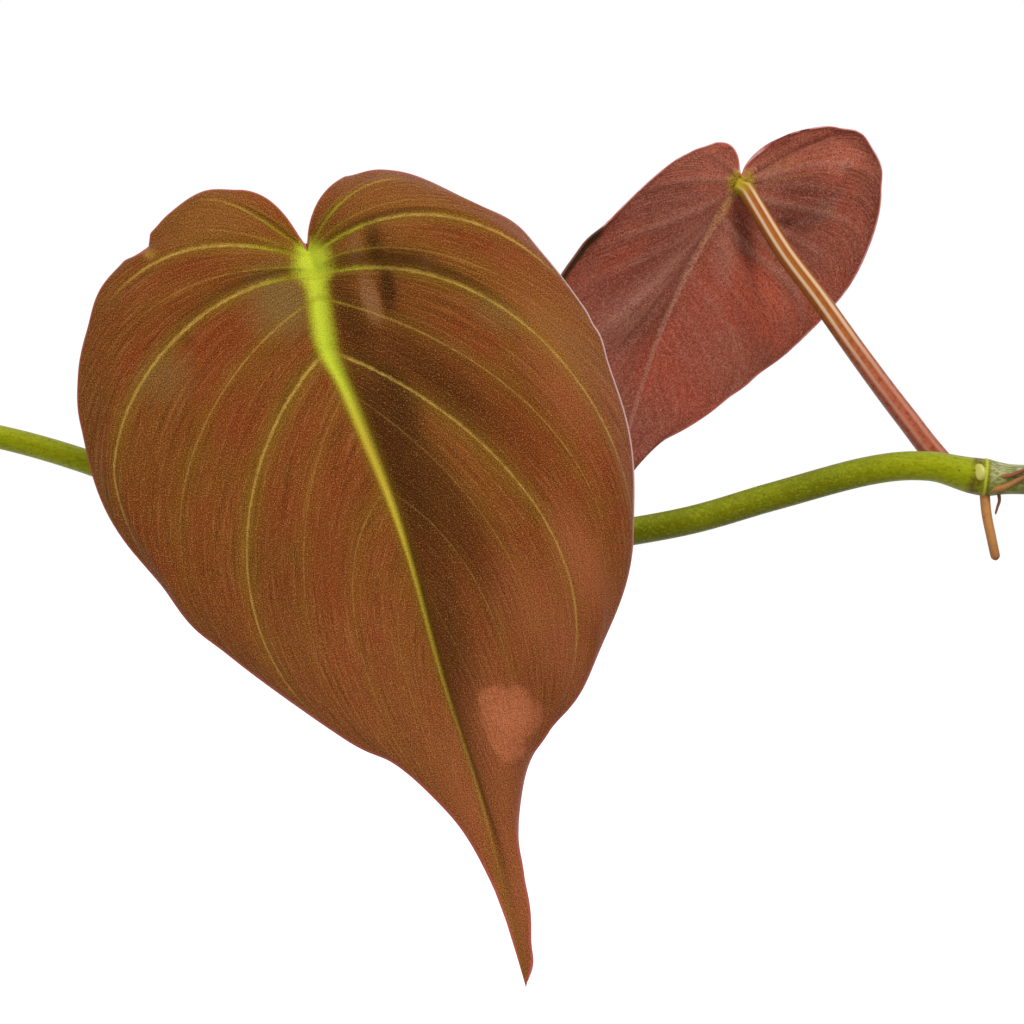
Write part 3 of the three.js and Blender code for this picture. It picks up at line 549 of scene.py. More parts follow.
def blade_half(leaf, side, u, t):
    """One half of a blade as a thin sheet, with the measures that its veins are drawn by."""
    flat, reach = rib_points(leaf["shape"], side, u, t)
    flat = unfold(flat)
    w = relief(leaf["form"], side, u, t, flat, reach)
    half = {"flat": flat, "reach": reach, "over": place_on_blade(leaf, flat, w)}
    half["off"] = off_line(flat, flat[::3, 0])
    half["rim"] = off_line(flat, np.concatenate([flat[0, ::3], flat[::2, -1], flat[-1:, -1]]))
    d_u, d_t = np.gradient(flat, axis=0), np.gradient(flat, axis=1)
    rib = unit_rows(d_t)
    square = d_u - rib * (d_u * rib).sum(-1, keepdims=True)
    half["spacing"] = np.linalg.norm(square, axis=-1) / np.gradient(u[:, 0])[:, None]
    if side == leaf.get("curl_side"):
        curl_margin(leaf, u, t, half)
    lean = np.cross(np.gradient(half["over"], axis=0), np.gradient(half["over"], axis=1))
    facing = np.sign((lean.reshape(-1, 3) @ leaf["normal"]).mean())
    lean = unit_rows(blur(lean * facing, 3))
    if side != leaf.get("curl_side"):
        lean = np.where((lean @ leaf["normal"] < 0.2)[..., None] & (leaf["bend"] == 0), leaf["normal"], lean)
    half["normal"] = lean
    return half


def join_normals(halves):
    """One direction for both halves along the midrib, and one at the tip."""
    steady = {side: half["normal"][:, NEAR_MIDRIB].copy() for side, half in halves.items()}
    for _ in range(STEADY_ROUNDS):
        for rows in steady.values():
            rows[1:-1] = unit_rows(rows[:-2] + 2 * rows[1:-1] + rows[2:])
    shared = unit_rows(steady["left"] + steady["right"])
    share = np.linspace(0, 1, NEAR_MIDRIB + 1)[None, :, None]
    for side, half in halves.items():
        between = shared[:, None] * (1 - share) + steady[side][:, None] * share
        half["normal"][:, :NEAR_MIDRIB + 1] = unit_rows(between)
        half["normal"][-1] = shared[-3]


def curl_margin(leaf, u, t, half):
    """Roll a stretch of the margin over towards the underside, keeping the outline."""
    radius = leaf["curl_radius"]
    low, full, ease, high = leaf["curl"]
    share = smooth_step(low, full, u) * (1 - smooth_step(ease, high, u))
    start = 1 - radius / np.maximum(half["reach"], 4 * radius)
    past = np.clip((t - start) / (1 - start), 0, 1)
    turn = past * leaf["curl_turn"] * share
    margin = unit_rows(half["over"][:, -1] - half["over"][:, -6])[:, None]
    inwards = np.where(share > 0, radius * (np.sin(turn) - past), 0) * share
    half["over"] = (half["over"] + margin * inwards[..., None]
                    - leaf["normal"] * (radius * (1 - np.cos(turn)))[..., None])


def skin_blade(leaf, u, t, half):
    """The upper face and the underside of a half, with grooves above and ridges below its veins."""
    scale = leaf["size"] ** 0.5
    strength = np.interp(u, range(LAST_RIB + 1), VEIN_STRENGTH)
    beside = np.abs(u - np.round(u)) * half["spacing"]
    vein = strength * np.exp(-(beside / (0.75 - 0.35 * t)) ** 2) * (1 - smooth_step(0.8, 1, t))
    reach = np.linalg.norm(half["flat"] - half["flat"][0, 0], axis=-1)
    edge = 1 - smooth_step(0.85, 1, t)
    groove = np.exp(-(half["off"] / (0.6 + 0.9 * np.exp(-reach / 14))) ** 2) * edge
    ridge = (0.08 + 0.35 * np.exp(-reach / 10)) * np.exp(-(half["off"] / 0.55) ** 2)
    lift = half["normal"] * scale
    thick = BLADE_THICKNESS * (0.35 + 0.65 * (1 - smooth_step(0.7, 1, t)))
    sunken = leaf["groove"] * vein + leaf["channel"] * groove
    raised = leaf["ridge"] * vein + ridge
    over = half["over"] - lift * sunken[..., None]
    under = half["over"] - half["normal"] * thick[..., None] - lift * raised[..., None]
    # How far the surface faces the key light's side of the leaf's plane; the shaders paint shade where it
    # faces away
    nap = half["normal"] @ leaf["nap"]
    return {
        "over": over,
        "under": under,
        "fan": np.stack([u, t, half["spacing"]], -1),
        "plane": np.stack([half["flat"][..., 0], half["flat"][..., 1], half["off"]], -1),
        "own": np.stack([strength, nap, np.full_like(u, leaf["seed"])], -1),
        "rim": np.stack([half["rim"], reach, np.zeros_like(u)], -1),
    }


# The numbers of a leaf's materials, and the data that its shaders read
UPPER, UNDER, MARGIN, STALK = range(4)
SKIN_DATA = ("fan", "plane", "own", "rim")


def grow_blade(parts, leaf, ribs, steps):
    """Both faces of the blade and its rounded rim, as one closed skin."""
    even = np.linspace(0, 1, steps)
    closer_at_ends = 0.5 * even + 0.25 * (1 - np.cos(np.pi * even))
    u, t = np.meshgrid(np.linspace(0, LAST_RIB, ribs), closer_at_ends, indexing="ij")
    skins, numbers = {}, {}
    halves = {side: blade_half(leaf, side, u, t) for side in ("left", "right")}
    join_normals(halves)
    for side in ("left", "right"):
        skin = skins[side] = skin_blade(leaf, u, t, halves[side])
        for face in ("over", "under"):
            data = {name: skin[name].reshape(-1, 3) for name in SKIN_DATA}
            start = parts.add(skin[face], [], 0, **data)
            numbers[side, face] = start + np.arange(ribs * steps).reshape(ribs, steps)
    # One shared row of points on the midrib, and one point at the tip
    for face in ("over", "under"):
        numbers["left", face][:, 0] = numbers["right", face][:, 0]
        for side in ("left", "right"):
            numbers[side, face][-1] = numbers["right", face][-1, 0]
    ends = None
    for side in ("left", "right"):
        turned = (side == "left") == (leaf["mirror"] > 0)
        for face, material in (("over", UPPER), ("under", UNDER)):
            grid = numbers[side, face]
            quads = np.stack([grid[:-1, :-1], grid[1:, :-1], grid[1:, 1:], grid[:-1, 1:]], -1)
            add_quads(parts, quads.reshape(-1, 4), (face == "under") != turned, material)
        rim = {face: np.concatenate([numbers[side, face][0], numbers[side, face][1:, -1]])
               for face in ("over", "under")}
        ends = add_rim(parts, skins[side], rim, ends, turned)


def add_quads(parts, quads, flip, material):
    """Faces between existing points; a quad with corners alike becomes a triangle or nothing."""
    if flip:
        quads = quads[:, ::-1]
    for quad in quads.tolist():
        corners = list(dict.fromkeys(quad))
        if len(corners) >= 3:
            parts.faces.append(tuple(corners))
            parts.materials.append(material)


def add_rim(parts, skin, rim, ends, turned):
    """The rounded edge between the two faces, from the sinus round to the tip. Both halves share its ends."""
    def edge(block):
        return np.concatenate([block[0], block[1:, -1]])
    over, under = edge(skin["over"]), edge(skin["under"])
    inner = np.concatenate([skin["over"][1], skin["over"][1:, -2]])
    middle = 0.5 * (over + under) + unit_rows(over - inner) * RIM_BULGE
    middle[0], middle[-1] = 0.5 * (over[0] + under[0]), 0.5 * (over[-1] + under[-1])
    start = parts.add(middle, [], 0, **{name: edge(skin[name]) for name in SKIN_DATA})
    centre = start + np.arange(len(middle))
    if ends:
        centre[0], centre[-1] = ends
    for a, b in ((rim["over"], centre), (centre, rim["under"])):
        add_quads(parts, np.stack([a[:-1], a[1:], b[1:], b[:-1]], -1), turned, MARGIN)
    return centre[0], centre[-1]


def grow_petiole(parts, leaf):
    """The petiole, swollen where it leaves the stem, sinking into the underside at the midrib's foot."""
    _, points, run = resample(leaf["petiole"], 1.0)
    share = run / run[-1]
    low, high = leaf["stalk"]
    radius = (low + (high - low) * share) * (1 + 0.25 * bell(run, 0, 2.5))
    taper = np.array([0.85, 0.6, 0.3])
    ends = []
    for rib, part in zip((6, 4.5, 3), taper):
        u, t = np.array([[rib]]), np.array([[0.0]])
        flat, reach = rib_points(leaf["shape"], "left", u, t)
        w = relief(leaf["form"], "left", u, t, flat, reach)
        ends.append(place_on_blade(leaf, flat, w)[0, 0] - leaf["normal"] * (0.3 + part * radius[-1]))
    path = np.vstack([points, ends])
    angles = np.linspace(0, 2 * np.pi, PETIOLE_SIDES, endpoint=False)
    # A shallow channel runs along the petiole, between two rounded ridges.
    apart = (angles - CHANNEL_TURN + np.pi) % (2 * np.pi) - np.pi
    channel = 1 - 0.2 * bell(apart, 0, 0.34)
    radii = [r * channel for r in np.concatenate([radius, taper * radius[-1]])]
    vertices, faces = sweep(path, radii, PETIOLE_SIDES, leaf.get("stalk_faces"))
    along = np.repeat(np.linspace(0, 1, len(path)), PETIOLE_SIDES)
    across, front = np.tile(np.sin(angles), len(path)), np.tile(np.cos(angles), len(path))
    parts.add(vertices, faces, STALK, fan=np.stack([along, across, front], -1))


def hanging_leaf(route, node, stalk, heading, pitch, roll, size, mirror, droop):
    """A leaf by its place on the stem and its stance, as the solids have it."""
    route = np.asarray(route, dtype=float)
    point = spline(route, node)
    tangent = unit(spline(route, min(node + 0.1, len(route) - 1)) - spline(route, node - 0.1))
    reach = np.asarray(stalk, dtype=float)
    h, p = math.radians(heading), math.radians(pitch)
    forward = np.array((math.cos(h), math.sin(h), 0))
    up = np.array((0, 0, 1.0))
    along = forward * math.cos(p) - up * math.sin(p)
    normal = forward * math.sin(p) + up * math.cos(p)
    normal = np.array(Matrix.Rotation(math.radians(roll), 3, Vector(along)) @ Vector(normal))
    base = point + reach
    length = np.linalg.norm(reach)
    outward = unit(reach - tangent * reach.dot(tangent))
    start = point + outward * 0.6 * STEM_RADIUS
    leave = start + reach * 0.35 + up * 0.06 * length
    arrive = base - normal * 0.22 * length - reach * 0.12
    return {
        "shape": FRONT_SHAPE,
        "form": {"left": (4, 0.55), "right": (4.5, 0.5), "swell": 0.6, "arch": 0, "middle": 40, "dents": []},
        "base": base, "along": along, "normal": normal, "across": np.cross(normal, along),
        "size": size, "mirror": mirror, "lean": FRONT_LEAN,
        "bend": math.radians(droop) / (FRONT_LENGTH * size),
        "petiole": [start, leave, arrive, base - normal * 1.3],
        "groove": 0.15, "channel": 0.2, "ridge": 0.3,
        "nap": 0.8 * np.cross(normal, along) * mirror - 0.6 * along,
        "stalk": (PETIOLE_RADIUS * (0.5 + 0.5 * size), 0.78 * PETIOLE_RADIUS * (0.5 + 0.5 * size)),
    }


def front_leaf():
    """The large photographed leaf, which turns its upper face to the front."""
    return {
        "shape": {**FRONT_SHAPE, "notch": NOTCH},
        "form": {"left": (3, 0.55), "right": (4, 0.42), "swell": 0.5, "arch": 2, "middle": 40,
                 "dents": [(8.2, 4.8, 1.1, 1.6, 3.6), (7, -0.8, 0.6, 1.2, 2)]},
        "base": np.array((-174.1, -27, 166.6)),
        "across": np.array((1.0, 0, 0)), "along": np.array((0, 0, -1.0)), "normal": np.array((0, -1.0, 0)),
        "size": 1, "mirror": 1, "lean": 0, "bend": 0,
        "petiole": [(-164.1, 0.6, 131.2), (-166, -9, 137), (-171, -18.5, 151), (-174.5, -24, 162.4)],
        "stalk": (1.3, 1.0),
        "groove": 0.13, "channel": 0.15, "ridge": 0.32,
        "nap": np.array((0.8, 0, 0.6)),
        "seed": FRONT_SEED,
    }


def turned_leaf():
    """The other photographed leaf, which turns its underside to the front."""
    crease = {"start": (-13.2, -2.4), "end": (-7.9, 4.6), "height": 1.5, "steep": 1.4, "gentle": 4}
    return {
        "shape": TURNED_SHAPE,
        "form": {"left": (2.6, 0.5), "right": (2.2, 0.5), "swell": 0.15, "arch": 1.5, "middle": 20,
                 "dents": [], "crease": crease},
        "base": np.array((-120.8, 20, 177)),
        "across": np.array((-1.0, 0, 0)), "along": np.array((0, 0, -1.0)), "normal": np.array((0, 1.0, 0)),
        "size": 1, "mirror": 1, "lean": 0, "bend": 0,
        "petiole": [(-91.5, 2.4, 139.4), (-94.8, 3.4, 139.8), (-97.5, 4.1, 142.5), (-100.5, 5.5, 146.5),
                    (-103.3, 7.2, 150.3), (-107.3, 9.7, 156), (-111.3, 12.3, 161.9), (-115.6, 15, 167.9),
                    (-119.3, 17.6, 174.2), (-120.3, 18.5, 176)],
        "stalk": (1.5, 1.12), "stalk_faces": (0, -1.0, 0),
        "groove": 0.1, "channel": 0.1, "ridge": 0.16,
        "nap": np.array((0.8, 0, 0.6)),
        "curl_side": "right", "curl": (4.6, 5.2, 6.4, 7.4), "curl_radius": 1.0, "curl_turn": 2.5,
        "seed": TURNED_SEED,
    }


def vine_route(vine):
    """A vine that rises from the soil, arches over the rim and hangs down outside."""
    def place(radius, z, share):
        return (*polar(radius, math.radians(vine["angle"] + vine["sway"] * share)), z)
    foot, top, reach, end = (vine[key] for key in ("root", "top", "reach", "end"))
    return [
        place(foot, SOIL_LEVEL - HOLE_DEPTH + 1, 0),
        place(foot, SOIL_LEVEL + 1, 0),
        place(foot + 3, SOIL_LEVEL + 16, 0.05),
        place(foot + 13, top - 7, 0.15),
        place(foot + 27, top, 0.35),
        place(POT_RIM_RADIUS + 3, top - 12, 0.6),
        place(reach, 0.5 * (top - 12 + end), 0.8),
        place(reach + 2, end, 1),
    ]


def directions(point):
    """Level directions away from the pot's axis and round it."""
    outward = unit((point[0], point[1], 0))
    return outward, np.array((-outward[1], outward[0], 0))


def vine_leaf(route, place):
    """A common leaf's stance follows from where it stands: steeper the further it hangs out."""
    node, side, size, out, turn = place
    x, y, _ = spline(route, node)
    angle = math.degrees(math.atan2(y, x))
    outward, sideways = directions((x, y))
    hang = min(max((node - 3) / 3, 0), 1)
    length = FRONT_LENGTH * size * 0.5
    stalk = (outward * (0.25 + 0.45 * hang + 0.12 * side) + sideways * side * 0.7
             + np.array((0, 0, 0.8 - 0.45 * hang)))
    stalk = unit(stalk) * length + outward * out
    return hanging_leaf(route, node, stalk, angle + side * (42 - 24 * hang + turn), 22 + 46 * hang,
                        side * -6, size, side, 34)


# Materials

class Shader:
    """A material's node tree, written as short calls."""

    def __init__(self, name):
        self.material = bpy.data.materials.new(name)
        self.material.use_nodes = True
        self.tree = self.material.node_tree
        self.tree.nodes.clear()
        output = self.tree.nodes.new("ShaderNodeOutputMaterial")
        self.surface = self.tree.nodes.new("ShaderNodeBsdfPrincipled")
        self.tree.links.new(self.surface.outputs[0], output.inputs[0])

    def put(self, socket, value):
        """Link a socket to another node's output, or give it a plain value."""
        if isinstance(value, bpy.types.NodeSocket):
            self.tree.links.new(value, socket)
        elif value is not None:
            socket.default_value = value

    def node(self, kind, inputs=None, **settings):
        made = self.tree.nodes.new(kind)
        for key, value in settings.items():
            setattr(made, key, value)
        for key, value in (inputs or {}).items():
            self.put(made.inputs[key], value)
        return made

    def math(self, operation, a, b=None):
        return self.node("ShaderNodeMath", inputs={0: a, 1: b}, operation=operation).outputs[0]

    def mul(self, a, b):
        return self.math("MULTIPLY", a, b)

    def div(self, a, b):
        return self.math("DIVIDE", a, b)

    def add(self, a, b):
        return self.math("ADD", a, b)

    def sub(self, a, b):
        return self.math("SUBTRACT", a, b)

    def length(self, x, y):
        return self.math("SQRT", self.add(self.mul(x, x), self.mul(y, y)))

    def smooth(self, value, low, high, start=0.0, end=1.0):
        """From start to end as the value goes from low to high. Low may also be the greater of the two."""
        return self.node("ShaderNodeMapRange", interpolation_type="SMOOTHSTEP",
                         inputs={0: value, 1: low, 2: high, 3: start, 4: end}).outputs[0]

    def mix(self, factor, a, b):
        """From one colour to another."""
        return self.node("ShaderNodeMix", inputs={0: factor, 6: a, 7: b}, data_type="RGBA").outputs[2]

    def noise(self, vector, scale, detail=3.0, roughness=0.55):
        return self.node("ShaderNodeTexNoise", inputs={"Vector": vector, "Scale": scale, "Detail": detail,
                                                       "Roughness": roughness}).outputs["Fac"]

    def split(self, vector):
        return self.node("ShaderNodeSeparateXYZ", inputs={0: vector}).outputs

    def join(self, x, y, z):
        return self.node("ShaderNodeCombineXYZ", inputs={0: x, 1: y, 2: z}).outputs[0]

    def stretch(self, vector, factors):
        return self.node("ShaderNodeVectorMath", inputs={0: vector, 1: factors},
                         operation="MULTIPLY").outputs[0]

    def attribute(self, name):
        """A vector of the mesh, whole and in its three parts."""
        whole = self.node("ShaderNodeAttribute", attribute_name=name).outputs["Vector"]
        return (whole, *self.split(whole))

    def place(self):
        """The surface's own place in millimetres."""
        own = self.node("ShaderNodeTexCoord").outputs["Object"]
        return self.node("ShaderNodeVectorMath", inputs={0: own, 3: 1 / MM}, operation="SCALE").outputs[0]

    def bump(self, height, distance, strength):
        return self.node("ShaderNodeBump", inputs={"Height": height, "Distance": distance,
                                                   "Strength": strength}).outputs[0]

    def finish(self, base, roughness, normal=None, **constants):
        """Set the surface, with further inputs by their names, and hand over the material."""
        self.put(self.surface.inputs["Base Color"], base)
        self.put(self.surface.inputs["Roughness"], roughness)
        self.put(self.surface.inputs["Normal"], normal)
        for name, value in constants.items():
            self.surface.inputs[name.replace("_", " ")].default_value = value
        return self.material


class BladeShader(Shader):
    """The material of one face of the blades, with the measures that its tones and lines are drawn by."""

    def __init__(self, name, shift_x, shift_y):
        super().__init__(name)
        _, self.u, self.t, self.spacing = self.attribute("fan")
        plane, self.x, self.y, self.off = self.attribute("plane")
        _, self.strength, self.nap, self.seed = self.attribute("own")
        _, self.rim, _, _ = self.attribute("rim")
        # Each leaf's seed moves it to a place of its own in the noise.
        shift = self.join(self.mul(self.seed, shift_x), self.mul(self.seed, shift_y), self.seed)
        moved = self.node("ShaderNodeVectorMath", operation="ADD",
                          inputs={0: self.stretch(plane, (1, 1, 0)), 1: shift})
        self.spot = moved.outputs[0]
        self.reach = self.length(self.x, self.y)
        self.main = self.near_line(self.u, 1)

    def near_line(self, value, per_rib):
        """The distance in millimetres to the nearest of the lines that divide each step of u."""
        scaled = self.mul(value, float(per_rib))
        apart = self.math("ABSOLUTE", self.sub(scaled, self.math("ROUND", scaled)))
        return self.div(self.mul(apart, self.spacing), float(per_rib))

    def waver(self, scale, size, roughness=0.55):
        """Noise about nought."""
        return self.mul(self.sub(self.noise(self.spot, scale, 3.0, roughness), 0.5), size)

    def strand(self, across, along):
        """Fine strands that run with the ribs, closer together the higher the first number."""
        place = self.join(self.mul(self.u, across), self.mul(self.t, along), self.seed)
        return self.noise(place, 1.0, 3.0, 0.6)

    def marks(self, base, look, rows, wander, own):
        """Lay soft-edged oval marks over the base, as the rows give them."""
        for tone_name, *oval in rows:
            shown = self.mul(own, self.oval(wander, *oval))
            base = self.mix(shown, base, getattr(look, tone_name))
        return base

    def oval(self, wander, centre_x, centre_y, wide, high, turn, soft, share):
        """How strongly an oval mark shows at a place on the blade."""
        c, s = math.cos(math.radians(turn)), math.sin(math.radians(turn))
        right, down = self.sub(self.x, centre_x), self.sub(self.y, centre_y)
        across = self.sub(self.mul(right, c / wide), self.mul(down, s / wide))
        along = self.add(self.mul(right, s / high), self.mul(down, c / high))
        away = self.add(self.length(across, along), wander)
        return self.smooth(away, 1 + soft, 1 - soft, 0.0, share)

    def velvet_glints_and_hollow_shade(self, base, dark, bright):
        """The stippled look of a velvet leaf, painted: shade in the hollows between its cells and glints of
        light on them.
        """
        grain = self.noise(self.spot, 7.0, 2.0, 0.7)
        base = self.mix(self.smooth(grain, 0.54, 0.34, 0.0, 0.85), base, dark)
        base = self.mix(self.smooth(grain, 0.52, 0.7, 0.0, 0.65), base, bright)
        cells = self.node("ShaderNodeTexVoronoi", inputs={"Vector": self.spot, "Scale": 2.6})
        pick = self.split(cells.outputs["Color"])[0]
        points = self.mul(self.smooth(cells.outputs["Distance"], 0.3, 0.12), self.smooth(pick, 0.55, 0.95))
        return self.mix(self.mul(points, 0.4), base, bright), grain


# Marks on the two photographed leaves, in their own planes: the tone, the centre, half the width and
# half the height in millimetres, the turn in degrees that leans the lower end to the right, the share
# of the mark over which its edge fades, and how strongly it shows.
# On the front leaf, the dark marks are painted shade in the folds beside the midrib and in the dents, the
# light marks on the dents' walls are painted highlights, and the grey and golden marks are painted sheen. The
# red patches, rosy stretches, blotch and scar are the leaf's own colour.
FRONT_MARKS = (
    ("deep", 16.9, 16.9, 1.8, 8.5, 52, 0.7, 0.55),
    ("deep", 4.4, 7.6, 2.2, 5, 22, 0.8, 0.75),
    ("deep", 10.4, 18.3, 1.9, 4.8, 28, 0.8, 0.95),
    ("deep", 11, 28.5, 1.9, 11, 24, 0.6, 0.45),
    ("deep", 17.6, 46.9, 1.7, 8, 14, 0.6, 0.4),
    ("deep", -14.7, 11, 0.7, 1.1, 20, 0.7, 0.4),
    ("red_patch", -10.2, 11.2, 3.6, 2.6, -30, 0.8, 0.5),
    ("red_patch", -9.3, 20.5, 3, 4, 20, 0.8, 0.35),
    ("red_patch", 24.4, 21.1, 3, 5.5, 35, 0.8, 0.4),
    ("red_patch", 2.2, 37.3, 2.6, 6, 5, 0.8, 0.35),
    ("red_patch", -14, 2.6, 3.2, 1.6, -10, 0.8, 0.4),
    ("red_patch", 26, 2, 3.6, 6, 48, 0.9, 0.3),
    ("bloom", -3.4, 6.1, 3.6, 3.8, 20, 0.85, 0.85),
    ("bloom", -17.4, 15.6, 3, 2.4, 40, 0.85, 0.5),
    ("bloom", 22, 8, 1.6, 3, 60, 0.85, 0.4),
    ("dent_light", 7.1, 5.9, 1.05, 3, 17, 0.45, 0.8),
    ("dent_light", 5.2, 0.1, 0.9, 1.9, 0, 0.6, 0.5),
    ("dent_light", 13.9, 1.8, 0.7, 1.3, -15, 0.7, 0.3),
    ("deep", 9.2, 5, 1, 2.7, 8, 0.55, 0.95),
    ("deep", 7.5, -1, 1, 2, 10, 0.8, 0.95),
    ("deep", 10.9, 1.2, 3.6, 0.9, 0, 0.9, 0.45),
    ("rose", 31.2, 50, 1.7, 4.8, 8, 0.8, 0.45),
    ("rose", 20.3, 62, 4, 11, -6, 0.8, 0.4),
    ("rose", 24.3, 79, 2.4, 9, -6, 0.8, 0.5),
    ("rose", 27.6, 44, 3.4, 7, 30, 0.9, 0.5),
    ("rose", 32.6, 37.6, 2.4, 7, 22, 0.9, 0.8),
    ("rose", 30.4, 17, 2.4, 8, 30, 0.9, 0.4),
    ("golden_sheen", 8, -5.2, 6, 3, -10, 0.9, 0.4),
    ("golden_sheen", -12.5, -3.8, 6, 2.4, 12, 0.9, 0.4),
    ("golden_sheen", 29.5, 9, 3, 8, 35, 0.9, 0.45),
)
BLOTCH_MARKS = (
    ("blotch", 23.4, 55, 3.4, 2.6, -6, 0.2, 0.8),
    ("blotch", 23.6, 58, 2.3, 3.6, 2, 0.2, 0.75),
    ("blotch", 25.4, 56.6, 2.6, 2, 36, 0.3, 0.65),
    ("scar", -19.4, 0.6, 0.8, 0.6, 0, 0.7, 0.7),
)
# On the turned leaf, the dark marks are painted shade in its hollows and beside its crease, the light marks
# are painted highlights on its raised parts, and the flush beside the petiole is its red painted brighter
# against the petiole's cast shadow
TURNED_MARKS = (
    ("under_rose", -13, -3.8, 6, 3.2, 20, 0.9, 0.6),
    ("under_rose", 5.5, -2.6, 4.5, 2.6, 10, 0.9, 0.75),
    ("under_flush_lit", -2.6, 14.6, 2.2, 7, -24, 0.9, 0.9),
    ("under_hollow_shade", 11.6, 18, 1.4, 5, 48, 0.9, 0.55),
    ("under_hollow_shade", -7.8, 0.6, 3.4, 1.3, 0, 0.5, 0.6),
    ("under_hollow_shade", -8.8, 2.1, 2, 1.6, 20, 0.5, 0.55),
    ("under_highlight", -10.7, 3, 0.9, 2.8, 40, 0.5, 0.5),
    ("under_highlight", -12.6, -1.8, 0.35, 1.6, 58, 0.6, 0.35),
    ("under_hollow_shade", -5.7, 5, 1.2, 0.7, 0, 0.5, 0.8),
    ("under_highlight", -7.7, 4.9, 0.4, 1.4, 60, 0.6, 0.4),
    ("under_tan", -4.6, -1.9, 0.7, 3.2, 74, 0.8, 0.4),
    ("under_tan", -6.3, -0.7, 0.22, 4.4, 86, 0.6, 0.45),
    ("under_highlight", 2.2, 9.5, 1.4, 3.2, 6, 0.8, 0.4),
    ("under_hollow_shade", 0.1, 7, 1.1, 3.8, -22, 0.6, 0.65),
    ("under_highlight", 13.2, 15.5, 2.1, 6.5, 52, 0.8, 0.4),
    ("under_hollow_shade", 14.4, 11.5, 1.4, 6, 54, 0.8, 0.35),
    ("under_hollow_shade", 9, 8.6, 1.2, 6, 58, 0.9, 0.3),
    ("under_red", 7, 24, 4, 6, 35, 0.9, 0.45),
    ("under_hollow_shade", -6.9, 18.8, 1.6, 3.6, -58, 0.9, 0.3),
)


def front_only(m, seed):
    """One on the front leaf and nought on all others."""
    return m.smooth(seed, FRONT_SEED + 0.06, FRONT_SEED + 0.02)


def turned_only(m, seed):
    """One on the turned leaf and nought on all others."""
    return m.smooth(seed, TURNED_SEED - 0.3, TURNED_SEED - 0.1)


def pale_stretch(m, x, y, own):
    """Where the front leaf's right margin catches the light."""
    down = m.mul(m.smooth(y, -8.0, 4.0), m.smooth(y, 38.0, 26.0))
    return m.mul(own, m.mul(m.smooth(x, 24.0, 30.0), down))


def rolled_stretch(m, x, own):
    """Where the turned leaf's margin rolls over and shows its dark side."""
    return m.mul(own, m.smooth(x, 17.2, 18.6, 0.0, 0.9))


def upper_ground(m, look, wander):
    """Red patches between the veins, brown elsewhere, olive and red towards the margins."""
    patches = m.smooth(m.noise(m.spot, 0.06, 2.0), 0.38, 0.6)
    base = m.mix(patches, look.brown, look.red)
    mottle = m.smooth(m.noise(m.spot, 0.25, 4.0), 0.35, 0.7)
    base = m.mix(m.mul(mottle, 0.4), base, look.olive)
    outer = m.smooth(m.add(m.t, wander), 0.6, 1.05)
    sunny = m.smooth(m.sub(m.x, m.mul(m.y, 0.2)), 2.0, 16.0)
    base = m.mix(m.mul(outer, 0.5), base, m.mix(sunny, look.olive, look.red_rim))
    return m.mix(m.smooth(m.y, 30.0, 70.0, 0.0, 0.6), base, look.rust)


def beside_veins(m, look, base, wobble, fine_line):
    """An olive halo beside the main veins, and fine veins and strands between them."""
    halo = m.mul(m.smooth(m.add(m.main, wobble), 2.3, 0.1), m.mul(m.strength, m.smooth(m.t, 1.0, 0.5)))
    base = m.mix(m.mul(halo, m.smooth(m.reach, 60.0, 8.0, 0.5, 0.9)), base, look.halo)
    strand = m.strand(15.0, 5.0)
    base = m.mix(m.smooth(strand, 0.55, 0.68, 0.0, 0.5), base, look.vein_soft)
    base = m.mix(m.smooth(strand, 0.5, 0.34, 0.0, 0.42), base, look.shade)
    broken = m.smooth(m.noise(m.spot, 0.8, 2.0), 0.4, 0.62)
    return m.mix(m.mul(m.mul(fine_line, broken), 0.5), base, look.vein_soft)


def painted_lean_shade(m, look, base):
    """Painted shade where the blade leans away from the key light's side, most of all beside the midrib."""
    lean = m.mul(m.smooth(m.nap, 0.1, -0.34), m.smooth(m.t, 0.75, 0.25, 0.15, 1.0))
    lean = m.mul(lean, m.smooth(m.y, 2.0, 12.0, 0.12, 1.0))
    return m.mix(m.mul(lean, m.smooth(m.y, 50.0, 22.0, 0.45, 0.7)), base, look.shade)


def main_veins(m, look, base):
    """The main veins, wider and brighter near the heart, fading out before the margin."""
    near_heart = m.smooth(m.reach, 42.0, 4.0)
    width = m.mul(m.add(0.05, m.mul(m.strength, 0.075)), m.add(1.0, m.mul(near_heart, 0.6)))
    width = m.mul(width, m.smooth(m.noise(m.spot, 1.6, 2.0), 0.3, 0.7, 0.7, 1.3))
    line = m.smooth(m.div(m.main, width), 1.8, 0.2)
    fade_from, fade_to = m.add(0.42, m.mul(m.strength, 0.33)), m.add(0.62, m.mul(m.strength, 0.36))
    shown = m.sub(1.0, m.smooth(m.t, fade_from, fade_to))
    uneven = m.smooth(m.noise(m.spot, 0.45, 2.0), 0.3, 0.6, 0.6, 1.0)
    line = m.mul(m.mul(line, m.mul(shown, uneven)), m.smooth(m.strength, 0.05, 0.95, 0.1, 0.9))
    gold = m.mix(near_heart, look.vein, look.vein_bright)
    return m.mix(line, base, m.mix(m.smooth(m.reach, 10.0, 3.5), gold, look.heart))


